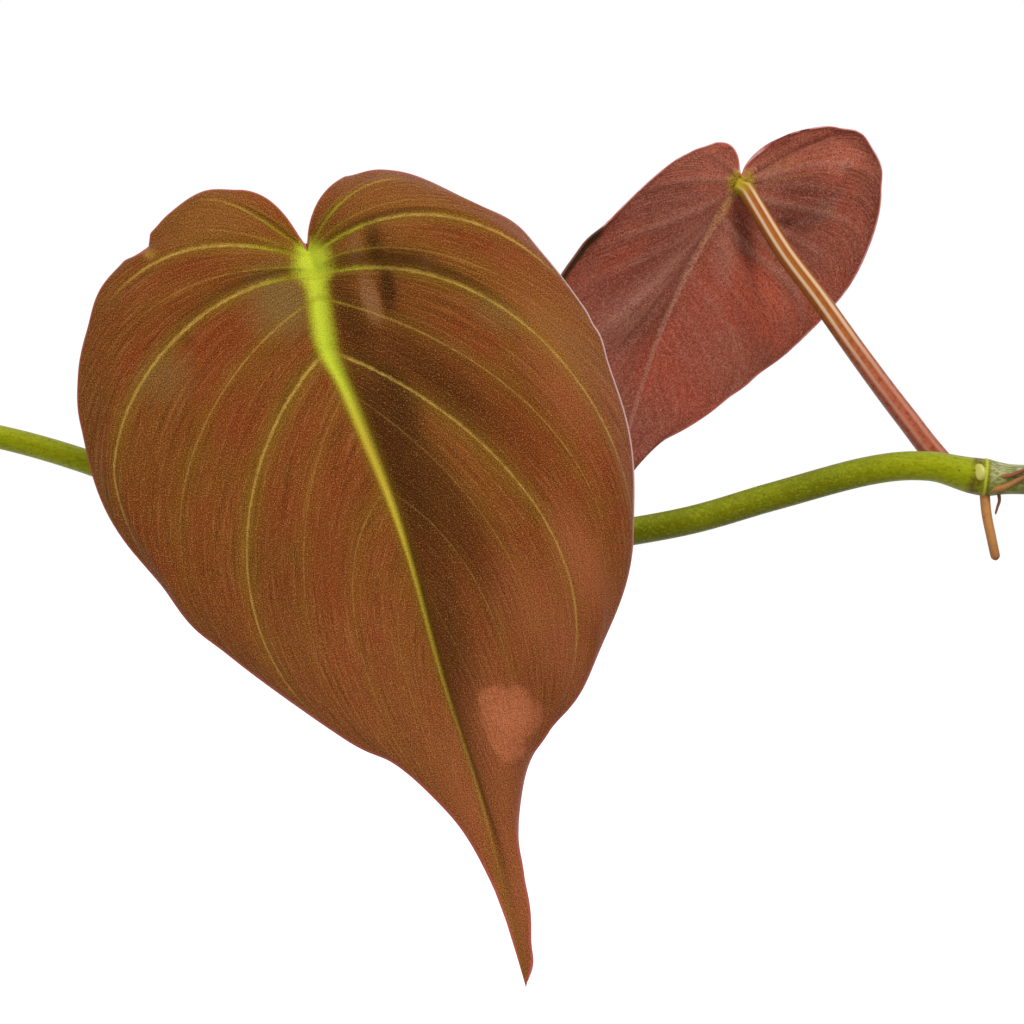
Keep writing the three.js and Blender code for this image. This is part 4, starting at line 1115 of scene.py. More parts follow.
def midrib_and_heart(m, look, base, wobble, speck):
    """The midrib and the bright heart where the veins meet, with speckled soft edges."""
    broad = m.add(m.smooth(m.reach, 46.0, 14.0, 0.0, 0.47), m.smooth(m.reach, 16.5, 10.0, 0.0, 0.46))
    width = m.add(broad, m.smooth(m.reach, 62.0, 44.0, 0.12, 0.2))
    uneven = m.mul(m.add(m.mul(wobble, 0.3), m.mul(speck, 0.45)), width)
    outside = m.sub(m.add(m.off, uneven), width)
    glow = m.mul(m.smooth(outside, 1.3, -0.2), m.smooth(m.reach, 60.0, 8.0, 0.3, 0.85))
    base = m.mix(glow, base, look.olive_glow)
    middle = m.mix(m.smooth(m.reach, 12.0, 26.0), look.heart, look.midrib)
    middle = m.mix(m.smooth(m.reach, 46.0, 66.0), middle, look.vein)
    band = m.smooth(m.div(outside, m.add(m.mul(width, 0.7), 0.06)), 1.0, -1.0)
    base = m.mix(m.mul(band, m.smooth(m.reach, 82.0, 62.0, 0.08, 0.95)), base, middle)
    ragged = m.add(m.mul(wobble, 2.5), m.mul(speck, 1.1))
    arms = m.div(m.add(m.reach, ragged), m.smooth(m.main, 0.8, 0.0, 1.0, 2.4))
    arms = m.mul(m.smooth(arms, 4.6, 1.2), m.smooth(m.strength, 0.0, 0.9, 0.3, 1.0))
    left = m.smooth(m.x, 2.0, -2.0, 0.7, 1.0)
    base = m.mix(m.mul(m.mul(arms, left), 0.85), base, look.olive_glow)
    core_x, core_y = m.sub(m.x, 0.1), m.sub(m.y, 1.6)
    core_reach = m.math("SQRT", m.add(m.mul(core_x, core_x), m.mul(m.mul(core_y, core_y), 0.8)))
    core = m.smooth(m.add(core_reach, ragged), 3.3, 0.9)
    base = m.mix(m.mul(core, 0.92), base, look.heart)
    return base, m.math("MAXIMUM", m.mul(band, m.smooth(m.reach, 60.0, 20.0)), core)


def upper_material(look):
    """Bronze velvet, with golden veins, olive beside them and a bright green heart."""
    m = BladeShader("velvet_upper", 90.0, 40.0)
    wander, wobble, speck = m.waver(0.35, 0.5), m.waver(0.5, 0.5), m.waver(3.2, 1.6, 0.7)
    own = front_only(m, m.seed)
    fine = m.near_line(m.add(m.u, m.mul(wobble, 0.06)), FINE_VEINS)
    fine_line = m.mul(m.smooth(fine, 0.15, 0.02), m.smooth(m.spacing, 1.0, 4.0))
    fine_line = m.mul(fine_line, m.smooth(m.off, 0.6, 2.0))
    base = upper_ground(m, look, wander)
    base = beside_veins(m, look, base, wobble, fine_line)
    # Painted shade where the blade leans away from the key light
    base = painted_lean_shade(m, look, base)
    base = m.marks(base, look, FRONT_MARKS, m.mul(wander, 0.8), own)
    base = main_veins(m, look, base)
    patchy = m.smooth(m.noise(m.spot, 1.7, 4.0, 0.7), 0.38, 0.58, 0.5, 1.0)
    uneven = m.add(m.mul(wobble, 2.0), m.mul(speck, 0.5))
    base = m.marks(base, look, BLOTCH_MARKS, uneven, m.mul(own, patchy))

    # The grain is calmer on the midrib and the heart. The edge of the blade is rosy, with a painted highlight
    # where the front leaf's right margin catches the light.
    plain, calm = midrib_and_heart(m, look, base, wobble, speck)
    base, grain = m.velvet_glints_and_hollow_shade(plain, look.shade, look.spark)
    base = m.mix(m.mul(calm, 0.5), base, plain)
    edge = m.mix(pale_stretch(m, m.x, m.y, own), look.margin, look.margin_pale)
    rim_width = m.smooth(m.y, 30.0, 62.0, 0.24, 0.45)
    base = m.mix(m.mul(m.smooth(m.div(m.rim, rim_width), 1.0, 0.2), 0.8), base, edge)
    pile = m.bump(m.add(m.mul(grain, 0.6), m.mul(fine_line, -0.5)), VELVET_DEPTH, 0.7)
    return m.finish(base, look.roughness, pile, Sheen_Weight=look.sheen, Sheen_Roughness=0.3,
                    Sheen_Tint=look.sheen_tint, Specular_IOR_Level=0.3, Specular_Tint=look.gloss_tint)


def under_material(look):
    """The underside: rosy brown, with pale raised veins and fine lines along them."""
    m = BladeShader("velvet_under", 70.0, 30.0)
    own = turned_only(m, m.seed)
    patches = m.smooth(m.noise(m.spot, 0.09, 3.0), 0.35, 0.68)
    base = m.mix(patches, look.under, look.under_red)
    base = m.mix(m.smooth(m.t, 0.75, 1.02, 0.0, 0.2), base, look.under_dark)
    base = m.marks(base, look, TURNED_MARKS, m.waver(0.35, 0.4), own)

    # Fine lines and strands between the veins
    wobble = m.waver(0.5, 0.08)
    fine = m.near_line(m.add(m.u, wobble), FINE_VEINS)
    broken = m.mul(m.smooth(m.noise(m.spot, 0.5, 2.0), 0.4, 0.6), m.smooth(m.t, 0.2, 0.8, 0.3, 1.0))
    fine_line = m.mul(m.mul(m.smooth(fine, 0.16, 0.03), broken), m.smooth(m.off, 0.5, 1.4))
    base = m.mix(m.mul(fine_line, 0.35), base, look.under_dark)
    strand = m.strand(13.0, 4.0)
    clear = m.smooth(m.off, 0.4, 1.4)
    base = m.mix(m.mul(clear, m.smooth(strand, 0.54, 0.7, 0.0, 0.4)), base, look.under_pale)
    base = m.mix(m.mul(clear, m.smooth(strand, 0.5, 0.32, 0.0, 0.4)), base, look.under_dark)

    # The pale veins, the midrib, and the green where the petiole joins
    halo = m.mul(m.smooth(m.main, 0.9, 0.1), m.mul(m.strength, m.smooth(m.t, 0.95, 0.4)))
    base = m.mix(m.mul(halo, 0.55), base, look.under_pale)
    # Painted shade where the underside leans away from the key light
    base = m.mix(m.mul(m.smooth(m.nap, -0.05, 0.35), 0.2), base, look.under_dark)
    wide = m.smooth(m.reach, 9.0, 1.5, 0.2, 0.5)
    midrib = m.mul(m.smooth(m.div(m.off, wide), 1.5, 0.6), m.smooth(m.reach, 46.0, 3.0, 0.45, 0.9))
    base = m.mix(midrib, base, m.mix(m.smooth(m.reach, 2.0, 14.0), look.under_tan, look.under_pale))
    heart = m.smooth(m.add(m.reach, m.mul(wobble, 14.0)), 2.2, 0.7)
    base = m.mix(heart, base, look.junction)
    base, grain = m.velvet_glints_and_hollow_shade(base, look.under_dark, look.under_spark)
    base = m.mix(m.mul(m.smooth(m.rim, 0.2, 0.04), 0.7), base, look.margin)
    rolled = rolled_stretch(m, m.x, m.mul(own, m.smooth(m.rim, 0.85, 0.6)))
    base = m.mix(rolled, base, look.rolled)
    skin = m.bump(m.add(m.mul(grain, 0.6), m.mul(fine_line, -0.4)), VELVET_DEPTH, 0.7)
    return m.finish(base, look.roughness, skin, Sheen_Weight=0.12, Sheen_Roughness=0.4,
                    Sheen_Tint=look.under_sheen, Specular_IOR_Level=0.35, Specular_Tint=look.under_gloss)


def margin_material(look):
    """The thin pink edge of the blade, paler in places, with a painted highlight where the front leaf's right
    margin catches the light, and darker where the turned leaf's margin rolls over.
    """
    m = Shader("leaf_margin")
    spot = m.place()
    _, x, y, _ = m.attribute("plane")
    seed = m.attribute("own")[3]
    base = m.mix(m.smooth(m.noise(spot, 0.6), 0.35, 0.65, 0.0, 0.5), look.margin, look.margin_pale)
    base = m.mix(pale_stretch(m, x, y, front_only(m, seed)), base, look.margin_pale)
    base = m.mix(rolled_stretch(m, x, turned_only(m, seed)), base, look.rolled)
    return m.finish(base, 0.45, m.bump(m.noise(spot, 6.0), 0.0001, 0.4), Specular_IOR_Level=0.35)


def stalk_material(look):
    """The petiole: painted highlights along two ridges on its front side, an orange channel between, redder
    low down, green at the blade.
    """
    m = Shader("petiole_skin")
    _, along, across, front = m.attribute("fan")
    spot = m.place()
    base = m.mix(m.smooth(along, 0.62, 0.25), look.stalk, look.stalk_low)
    streaks = m.noise(spot, 1.4, 5.0, 0.65)
    streaky = m.mul(m.smooth(streaks, 0.46, 0.62), m.smooth(along, 0.8, 0.3, 0.25, 0.75))
    base = m.mix(streaky, base, look.stalk_deep)
    # Painted highlights along the two ridges, on the side that faces the front, rosier near the stem
    left = m.smooth(m.math("ABSOLUTE", m.add(across, 0.32)), 0.26, 0.06)
    right = m.smooth(m.math("ABSOLUTE", m.sub(across, 0.6)), 0.24, 0.06)
    ridges = m.mul(m.math("MAXIMUM", left, right), m.smooth(front, -0.1, 0.3))
    pale = m.mix(m.smooth(along, 0.3, 0.6), look.stalk_rosy_highlight, look.stalk_highlight)
    base = m.mix(m.mul(ridges, m.smooth(along, 0.05, 0.6, 0.55, 0.95)), base, pale)
    base = m.mix(m.smooth(along, 0.9, 0.98), base, look.junction)
    return m.finish(base, 0.4, m.bump(streaks, VELVET_DEPTH, 0.5), Specular_IOR_Level=0.4,
                    Specular_Tint=look.gloss_tint)


def stem_material(look):
    """Green stem with painted light on its upper side and painted shade below, dark streaks, a pale ring at
    each node and brown skin beside it, and paler older skin with a painted sheen on top.
    """
    m = Shader("stem_skin")
    _, zone, ring, age = m.attribute("fan")
    spot = m.place()
    base = m.mix(m.smooth(m.noise(spot, 0.12, 3.0), 0.35, 0.65), look.stem, look.stem_dark_and_shade)
    up = m.split(m.node("ShaderNodeNewGeometry").outputs["Normal"])[2]
    # Painted light on the upper side and painted shade on the underside
    base = m.mix(m.smooth(up, -0.1, 0.8, 0.0, 0.3), base, look.stem_pale_and_lit)
    base = m.mix(m.smooth(up, -0.3, -0.9, 0.0, 0.3), base, look.stem_dark_and_shade)
    x = m.split(spot)[0]
    young = m.math("MAXIMUM", m.smooth(x, -112.0, -98.0), m.smooth(x, -196.0, -206.0))
    base = m.mix(m.mul(young, m.smooth(age, 0.5, 0.0, 0.0, 0.55)), base, look.stem_bright)
    streak = m.noise(m.stretch(spot, (0.4, 1.6, 1.6)), 2.2, 5.0, 0.7)
    base = m.mix(m.smooth(streak, 0.48, 0.66, 0.0, 0.5), base, look.stem_dark_and_shade)
    base = m.mix(m.smooth(streak, 0.46, 0.32, 0.0, 0.4), base, look.stem_pale_and_lit)
    mottle = m.noise(spot, 2.6, 4.0, 0.8)
    base = m.mix(m.smooth(mottle, 0.52, 0.66, 0.0, 0.6), base, look.stem_dark_and_shade)
    base = m.mix(m.smooth(mottle, 0.48, 0.34, 0.0, 0.6), base, look.stem_pale_and_lit)
    # The older skin is paler, with a painted sheen where it faces up
    older = m.mix(m.smooth(streak, 0.4, 0.6), look.stem_old_and_sheen, look.stem_grey)
    base = m.mix(m.mul(m.smooth(age, 0.3, 1.0), m.smooth(up, -0.6, 0.5, 0.35, 0.9)), base, older)
    fleck = m.node("ShaderNodeTexVoronoi", inputs={"Vector": spot, "Scale": 0.5})
    base = m.mix(m.smooth(fleck.outputs["Distance"], 0.09, 0.05, 0.0, 0.8), base, look.fleck)
    rough = m.noise(spot, 1.1, 4.0, 0.7)
    base = m.mix(m.mul(m.smooth(zone, 0.35, 0.95), m.smooth(rough, 0.4, 0.58, 0.2, 0.85)), base, look.fleck)
    base = m.mix(m.smooth(ring, 0.3, 0.75, 0.0, 0.8), base, look.ring)
    skin = m.bump(m.add(streak, m.mul(m.noise(spot, 6.0, 2.0), 0.4)), 0.0002, 0.5)
    return m.finish(base, 0.42, skin, Specular_IOR_Level=0.4, Specular_Tint=look.gloss_tint)


def root_material(look):
    """Aerial roots: ochre with browner tips."""
    m = Shader("root_skin")
    _, along, tone, _ = m.attribute("fan")
    spot = m.place()
    base = m.mix(m.smooth(m.add(along, tone), 0.3, 1.1), look.root, look.root_dark)
    rough = m.noise(spot, 1.8, 5.0, 0.7)
    base = m.mix(m.smooth(rough, 0.5, 0.75, 0.0, 0.6), base, look.root_dark)
    return m.finish(base, 0.7, m.bump(rough, 0.0003, 0.7))


def bud_material(look):
    """The pale skin of a resting bud."""
    m = Shader("bud_skin")
    spot = m.place()
    base = m.mix(m.smooth(m.noise(spot, 0.9, 3.0), 0.4, 0.7, 0.0, 0.6), look.bud, look.stem_pale_and_lit)
    return m.finish(base, 0.4, m.bump(m.noise(spot, 5.0), 0.0001, 0.4), Specular_IOR_Level=0.45)


def pot_material(look):
    """Fired clay: a speckled matt skin with paler lime blooms low down and faint throwing rings."""
    m = Shader("fired_clay")
    spot = m.place()
    height = m.split(spot)[2]
    broad = m.noise(spot, 0.03, 4.0, 0.6)
    base = m.mix(m.smooth(broad, 0.35, 0.7), look.clay, look.clay_pale)
    fine = m.noise(spot, 1.3, 6.0, 0.7)
    base = m.mix(m.smooth(fine, 0.45, 0.75, 0.0, 0.45), base, look.clay_dark)
    bloom = m.mul(m.smooth(m.noise(spot, 0.06, 5.0, 0.7), 0.52, 0.7), m.smooth(height, 70.0, 5.0))
    base = m.mix(m.mul(bloom, 0.5), base, look.lime)
    rings = m.noise(m.stretch(spot, (0.02, 0.02, 1.2)), 1.0, 3.0)
    skin = m.bump(m.add(m.mul(rings, 0.6), m.mul(fine, 0.7)), 0.0006, 0.6)
    return m.finish(base, 0.82, skin, Specular_IOR_Level=0.3)


def soil_material(look):
    """Potting mix for the fill and its crumbs: darker where its bumps are low, with pale fibres."""
    m = Shader("potting_mix")
    spot = m.place()
    # Darker where the bumps are low
    coarse = m.noise(spot, 0.4, 6.0, 0.7)
    base = m.mix(m.smooth(coarse, 0.35, 0.7), look.soil_dark, look.soil)
    fine = m.noise(spot, 2.0, 4.0, 0.7)
    base = m.mix(m.smooth(fine, 0.55, 0.75, 0.0, 0.6), base, look.soil_pale)
    return m.finish(base, 0.95, m.bump(m.add(coarse, m.mul(fine, 0.5)), 0.0012, 0.9), Specular_IOR_Level=0.2)


def grit_material(look):
    """Pale grains in the mix."""
    m = Shader("grit")
    spot = m.place()
    base = m.mix(m.smooth(m.noise(spot, 0.7), 0.4, 0.7), look.grit, look.soil_pale)
    return m.finish(base, 0.85, m.bump(m.noise(spot, 3.0), 0.0003, 0.6))


def tone(name, about, red, green, blue):
    """A colour of a look, given as it shows in the studio's light."""
    return FloatVectorProperty(name=name, description=about, subtype="COLOR", size=4, min=0, max=1,
                               default=colour(red, green, blue))


class LeafLook(bpy.types.PropertyGroup):
    """Colours and finish of the leaves."""
    brown: tone("Brown", "Ground colour of the upper face", 140, 74, 28)
    red: tone("Red", "Redder parts of the upper face", 146, 61, 30)
    olive: tone("Olive", "Between brown and green, near the margin", 136, 87, 28)
    rust: tone("Rust", "Towards the tip", 168, 92, 58)
    red_rim: tone("Red rim", "Along the right margin", 158, 72, 38)
    halo: tone("Halo", "Beside the main veins", 138, 104, 26)
    # Painted shade in the velvet's hollows and where a blade leans away from the key light; it also darkens
    # the strands between the veins
    shade: tone("Shade", "Depth of the velvet", 70, 30, 8)
    # Painted shade in the front leaf's folds and dents
    deep: tone("Deep shade", "Darkest folds of the front leaf", 62, 30, 6)
    red_patch: tone("Red patch", "Deep red between the veins", 138, 50, 26)
    # Painted glints on the velvet's cells
    spark: tone("Spark", "Bright points of the velvet", 214, 158, 84)
    vein: tone("Vein", "Main veins", 206, 158, 76)
    vein_bright: tone("Bright vein", "Main veins near the heart", 226, 190, 84)
    vein_soft: tone("Fine vein", "Fine veins", 186, 116, 66)
    heart: tone("Heart", "The bright base where the veins meet", 228, 246, 66)
    midrib: tone("Midrib", "The midrib in the middle of the leaf", 232, 208, 66)
    olive_glow: tone("Glow", "Beside the midrib", 142, 116, 18)
    margin: tone("Margin", "Edge of the blade", 204, 98, 88)
    margin_pale: tone("Pale margin", "Lighter stretches of the edge", 255, 222, 218)
    under: tone("Underside", "Ground colour of the underside", 160, 88, 70)
    under_red: tone("Red underside", "Redder patches of the underside", 184, 83, 61)
    under_dark: tone("Dark underside", "Shaded lines of the underside", 118, 56, 42)
    under_rose: tone("Rosy underside", "Lobes of the turned leaf", 212, 120, 94)
    under_flush_lit: tone("Flush", "Reddest part of the turned leaf", 250, 118, 86)
    # The reddest part of the turned leaf, painted brighter to make up for the shadow that the petiole casts
    # on it
    rolled: tone("Rolled margin", "Rolled margin of the turned leaf", 76, 56, 32)
    # Painted shade in the turned leaf's hollows and beside its crease
    under_hollow_shade: tone("Deep underside", "Hollows of the turned leaf", 84, 38, 28)
    # Painted highlights on the turned leaf's raised parts
    under_highlight: tone("Light underside", "Raised parts of the turned leaf", 180, 130, 114)
    under_tan: tone("Tan underside", "Veins near the petiole", 196, 136, 84)
    under_pale: tone("Pale underside", "Raised veins of the underside", 192, 132, 112)
    # Painted glints on the underside's cells
    under_spark: tone("Underside spark", "Bright points of the underside", 212, 148, 120)
    stalk: tone("Petiole", "Channel of the petiole", 176, 102, 40)
    # Painted highlights along the petiole's ridges, rosier near the stem
    stalk_highlight: tone("Pale petiole", "Ridges of the petiole", 238, 200, 164)
    stalk_rosy_highlight: tone("Rosy petiole", "Ridges near the stem", 208, 146, 124)
    stalk_low: tone("Low petiole", "Petiole near the stem", 184, 98, 74)
    stalk_deep: tone("Deep petiole", "Dark streaks of the petiole", 138, 64, 40)
    junction: tone("Junction", "Where petiole and blade meet", 190, 166, 24)
    sheen_tint: tone("Sheen", "Tint of the velvet's sheen", 255, 170, 80)
    under_sheen: tone("Underside sheen", "Tint of the underside's sheen", 255, 190, 165)
    gloss_tint: tone("Gloss", "Tint of the upper face's gloss", 255, 150, 60)
    under_gloss: tone("Underside gloss", "Tint of the underside's gloss", 255, 170, 140)
    blotch: tone("Blotch", "Healed blotch of the front leaf", 222, 128, 88)
    rose: tone("Rose", "Rosy stretch of the front leaf", 184, 102, 66)
    # Painted sheen on the front leaf's lobes and its right half
    golden_sheen: tone("Gilded", "Lighter stretches of the front leaf", 168, 110, 50)
    # Painted sheen: the velvet's grey sheen beside the heart
    bloom: tone("Bloom", "Grey bloom beside the heart", 138, 112, 62)
    dent_light: tone("Dent", "Lit side of the dent", 154, 108, 72)
    scar: tone("Scar", "Scar at the notch", 196, 156, 70)
    sheen: FloatProperty(name="Sheen", description="Strength of the velvet's sheen", default=0.1, min=0,
                         max=1)
    roughness: FloatProperty(name="Roughness", description="Roughness of the blade", default=0.62, min=0,
                             max=1)
    ribs: IntProperty(name="Ribs", description="Rows of a large blade", default=340, min=40)
    steps: IntProperty(name="Steps", description="Points from midrib to margin", default=52, min=12)
    common_ribs: IntProperty(name="Common ribs", description="Rows of a common blade", default=84, min=40)
    common_steps: IntProperty(name="Common steps", description="Its points to the margin", default=24, min=8)


class StemLook(bpy.types.PropertyGroup):
    """Colours of stems, roots and buds."""
    stem: tone("Stem", "Green of the stem", 130, 132, 14)
    stem_bright: tone("Bright stem", "Younger stretches of the stem", 186, 194, 12)
    # Darker streaks of the stem, and painted shade on its underside
    stem_dark_and_shade: tone("Dark stem", "Darker green streaks", 108, 108, 6)
    # Pale streaks of the stem and the bud, and painted light on the stem's upper side
    stem_pale_and_lit: tone("Pale stem", "Upper side of the stem", 170, 184, 36)
    # The older stem's pale skin, with a painted sheen on its upper side
    stem_old_and_sheen: tone("Old stem", "Paler skin of the older stem", 206, 204, 156)
    stem_grey: tone("Grey stem", "Greyer streaks of the older stem", 128, 132, 76)
    fleck: tone("Fleck", "Brown flecks and skin beside the nodes", 100, 74, 28)
    ring: tone("Ring", "The ring at a node", 216, 208, 84)
    root: tone("Root", "Aerial roots", 210, 140, 54)
    root_dark: tone("Dark root", "Tips of the aerial roots", 152, 78, 24)
    bud: tone("Bud", "Resting buds", 220, 212, 92)
    gloss_tint: tone("Gloss", "Tint of the stem's gloss", 235, 240, 90)
    step: FloatProperty(name="Step", description="Length of one ring of a stem, in millimetres", default=0.35,
                        min=0.2)


class PotLook(bpy.types.PropertyGroup):
    """Colours of the pot and the soil."""
    clay: tone("Clay", "Fired clay", 186, 112, 78)
    clay_pale: tone("Pale clay", "Drier patches", 204, 136, 100)
    clay_dark: tone("Dark clay", "Fine dark speckle", 150, 84, 58)
    lime: tone("Lime", "Pale bloom on the lower wall", 216, 186, 160)
    soil: tone("Soil", "Potting mix", 66, 46, 32)
    # Darker where the soil's bumps are low
    soil_dark: tone("Dark soil", "Moist hollows", 34, 23, 16)
    soil_pale: tone("Fibre", "Pale fibres", 106, 80, 56)
    grit: tone("Grit", "Pale grains in the mix", 196, 186, 170)
    crumbs: IntProperty(name="Crumbs", description="Loose crumbs on the soil", default=620, min=0)


class StageLook(bpy.types.PropertyGroup):
    """The floor, the lights and the camera."""
    floor: FloatVectorProperty(name="Floor", description="Plain pale floor", subtype="COLOR", size=4, min=0,
                               max=1, default=colour(218, 218, 218, 1))
    key: FloatProperty(name="Key", description="Strength of the key light", default=3.4, min=0)
    fill: FloatProperty(name="Fill", description="Strength of the light from all round", default=1.0, min=0)
    softness: FloatProperty(name="Softness", description="Apparent size of the key light", subtype="ANGLE",
                            default=math.radians(22))
    span: FloatProperty(name="Floor span", description="Side of the floor", default=40.0, unit="LENGTH")


# In the order of UPPER, UNDER, MARGIN and STALK
LEAF_SKINS = {"velvet_upper": upper_material, "velvet_under": under_material,
              "leaf_margin": margin_material, "petiole_skin": stalk_material}


def leaf_materials(context):
    """The materials of a leaf, made once and shared by all."""
    for name, build in LEAF_SKINS.items():
        if name not in bpy.data.materials:
            build(context.scene.leaf_look)
    return [bpy.data.materials[name] for name in LEAF_SKINS]


def settle(piece, node):
    """What every grown piece is told: its body, and the solid it stands for, which is hidden."""
    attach(piece, BODY)
    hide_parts(node)


def add_leaf(context, node, leaf, ribs, steps):
    """Grow one leaf in place of its solid."""
    parts = Parts()
    grow_blade(parts, leaf, ribs, steps)
    grow_petiole(parts, leaf)
    settle(parts.make(f"{node}_velvet", leaf_materials(context)), node)


class PLANT_OT_front_leaf(bpy.types.Operator):
    """Grow the large leaf that turns its upper face to the front"""
    bl_idname = "plant.front_leaf"
    bl_label = "Front leaf"

    def execute(self, context):
        look = context.scene.leaf_look
        add_leaf(context, "front_leaf", front_leaf(), look.ribs, look.steps)
        return {"FINISHED"}


class PLANT_OT_turned_leaf(bpy.types.Operator):
    """Grow the leaf that turns its underside to the front"""
    bl_idname = "plant.turned_leaf"
    bl_label = "Turned leaf"

    def execute(self, context):
        look = context.scene.leaf_look
        add_leaf(context, "turned_leaf", turned_leaf(), look.ribs, look.steps)
        return {"FINISHED"}


class PLANT_OT_vine_leaves(bpy.types.Operator):
    """Grow the leaves of all the vines round the pot"""
    bl_idname = "plant.vine_leaves"
    bl_label = "Vine leaves"

    def execute(self, context):
        look = context.scene.leaf_look
        leaves = {
            "upright_leaf": hanging_leaf(MAIN_ROUTE, UPRIGHT_NODE, (6, -14, 24), -70, 35, 0, 0.62, 1, 30),
            "young_leaf": hanging_leaf(MAIN_ROUTE, YOUNG_NODE, (-12, 8, 14), 150, 50, 0, 0.4, -1, 30),
        }
        for v, vine in enumerate(VINES):
            route = vine_route(vine)
            for k, place in enumerate(vine["leaves"]):
                leaves[f"vine_{v + 1}_leaf_{k + 1}"] = vine_leaf(route, place)
        for count, (node, leaf) in enumerate(leaves.items()):
            leaf["seed"] = 0.13 + 0.618 * count % 1
            add_leaf(context, node, leaf, look.common_ribs, look.common_steps)
        return {"FINISHED"}


def grow_stem(parts, route, nodes, thickness, taper, step, old_until):
    """The stem's skin. fan holds the brown zone beside each node, the ring on it, and the skin's age."""
    u, points, run = resample(route, step)
    last = len(route) - 1
    at = np.interp(nodes, u, run)
    ring = np.max([bell(run, place - 0.1, 0.2) for place in at], axis=0)
    zone = np.max([bell(run, place + 1.1, 1.2) for place in at], axis=0)
    swell = np.max([bell(run, place, np.where(run > place, 4.2, 2)) for place in at], axis=0)
    radius = thickness * (1 + (taper - 1) * (u / last) ** 2) * (1 + (NODE_SWELL - 1) * swell)
    radius = radius * (1 + 0.04 * ring)
    tip = run[-1] - run
    radius = radius * np.clip(0.35 + 0.65 * np.sqrt(np.clip(tip / 5, 0, 1)), 0, 1)
    vertices, faces = sweep(points, radius, STEM_SIDES)
    age = 1 - smooth_step(old_until - 0.1, old_until, u)
    parts.add(vertices, faces, 0, fan=np.repeat(np.stack([zone, ring, age], -1), STEM_SIDES, axis=0))


def grow_root(parts, points, radius, tone_shift, taper=0.45):
    """An aerial root with a rounded tip, darker the higher its shift of tone."""
    _, line, run = resample([np.asarray(p, dtype=float) for p in points], 0.25)
    share = run / run[-1]
    tip = 1 - np.clip((run[-1] + 0.02 - run) / radius, 0, 1)
    radii = radius * (1 - taper * share) * np.sqrt(1 - tip * tip)
    vertices, faces = sweep(line, radii, ROOT_SIDES)
    data = np.stack([share, np.full_like(share, tone_shift), share], -1)
    parts.add(vertices, faces, 1, fan=np.repeat(data, ROOT_SIDES, axis=0))


def grow_bud(parts, centre, radii, axis):
    """A resting bud, drawn out to a tip."""
    vertices, faces = globe(centre, radii, axis, point=0.35)
    parts.add(vertices, faces, 2, fan=np.zeros((len(vertices), 3)))


# The roots at the photographed node, each with its points, radius, shift of tone and taper: the long
# ochre root, a short dark one behind it, and two that run along the older stem
MAIN_ROOTS = (
    ([(-91.4, 0, 138.6), (-91.1, -0.4, 134.9), (-90.5, -0.6, 131.8), (-89.9, -0.5, 129)],
     0.65, -0.25, 0.08),
    ([(-89.7, -0.4, 137.8), (-89.5, -0.5, 136.5), (-89.75, -0.5, 135.6), (-90, -0.5, 134.7)],
     0.26, 0.7, 0.5),
    ([(-89.9, -1.5, 139.4), (-88.5, -2.1, 139.5), (-87, -2.3, 140), (-85.2, -2.4, 140.8)],
     0.3, 0.5, 0.3),
    ([(-90.5, -1.3, 137.8), (-89, -2.1, 138.1), (-87.2, -2.5, 139), (-84.8, -2.4, 140.2)],
     0.38, 0.15, 0.3),
)


class PLANT_OT_stems(bpy.types.Operator):
    """Grow the stems with their nodes, buds and aerial roots"""
    bl_idname = "plant.stems"
    bl_label = "Stems"

    def execute(self, context):
        look = context.scene.stem_look
        skins = [stem_material(look), root_material(look), bud_material(look)]
        self.main_stem(look, skins)
        for v, vine in enumerate(VINES):
            self.vine_stem(look, skins, v, vine)
        return {"FINISHED"}

    def main_stem(self, look, skins):
        """The photographed vine's stem."""
        parts = Parts()
        nodes = (UPRIGHT_NODE, TURNED_NODE, FRONT_NODE, YOUNG_NODE)
        grow_stem(parts, MAIN_ROUTE, nodes, MAIN_RADIUS, 0.7, look.step, TURNED_NODE)
        grow_bud(parts, (-92.1, -1.9, 139.9), (1.2, 0.65, 1.1), (-0.1, 0.1, 1))
        for root in MAIN_ROOTS:
            grow_root(parts, *root)
        settle(parts.make("main_stem_skin", skins), "main_stem")

    def vine_stem(self, look, skins, v, vine):
        """Another vine's stem, with a root and a bud at all its leaves but the last."""
        parts = Parts()
        route = vine_route(vine)
        random = SeededRandom(v + 11)
        nodes = [place[0] for place in vine["leaves"]]
        grow_stem(parts, route, nodes, STEM_RADIUS, 0.7, look.step, 2.2)
        for node, side, *_ in vine["leaves"][:-1]:
            point = spline(route, node)
            outward, sideways = directions(point)
            up = np.array((0, 0, 1.0))
            length = 5 + 4 * random.draw()
            knee = point + sideways * -side * 0.45 * length - up * 0.35 * length
            end = knee + outward * 0.15 * length - up * 0.6 * length
            grow_root(parts, [point, knee, end], ROOT_RADIUS, 0.2)
            grow_bud(parts, point + outward * 1.5 + up * 0.6, (0.5, 0.45, 0.8), (0.1, 0, 1))
        settle(parts.make(f"vine_{v + 1}_stem_skin", skins), f"vine_{v + 1}_stem")


class SeededRandom:
    """The same draws as the solids use."""

    def __init__(self, seed):
        self.state = seed

    def draw(self):
        self.state = (self.state * 48271) % 2147483647
        return self.state / 2147483647


def inner_radius(z):
    """The radius of the pot's inner wall at a height."""
    share = (z - POT_FLOOR) / (POT_HEIGHT - POT_FLOOR)
    return POT_FOOT_RADIUS - POT_WALL + (POT_RIM_RADIUS - POT_FOOT_RADIUS) * share


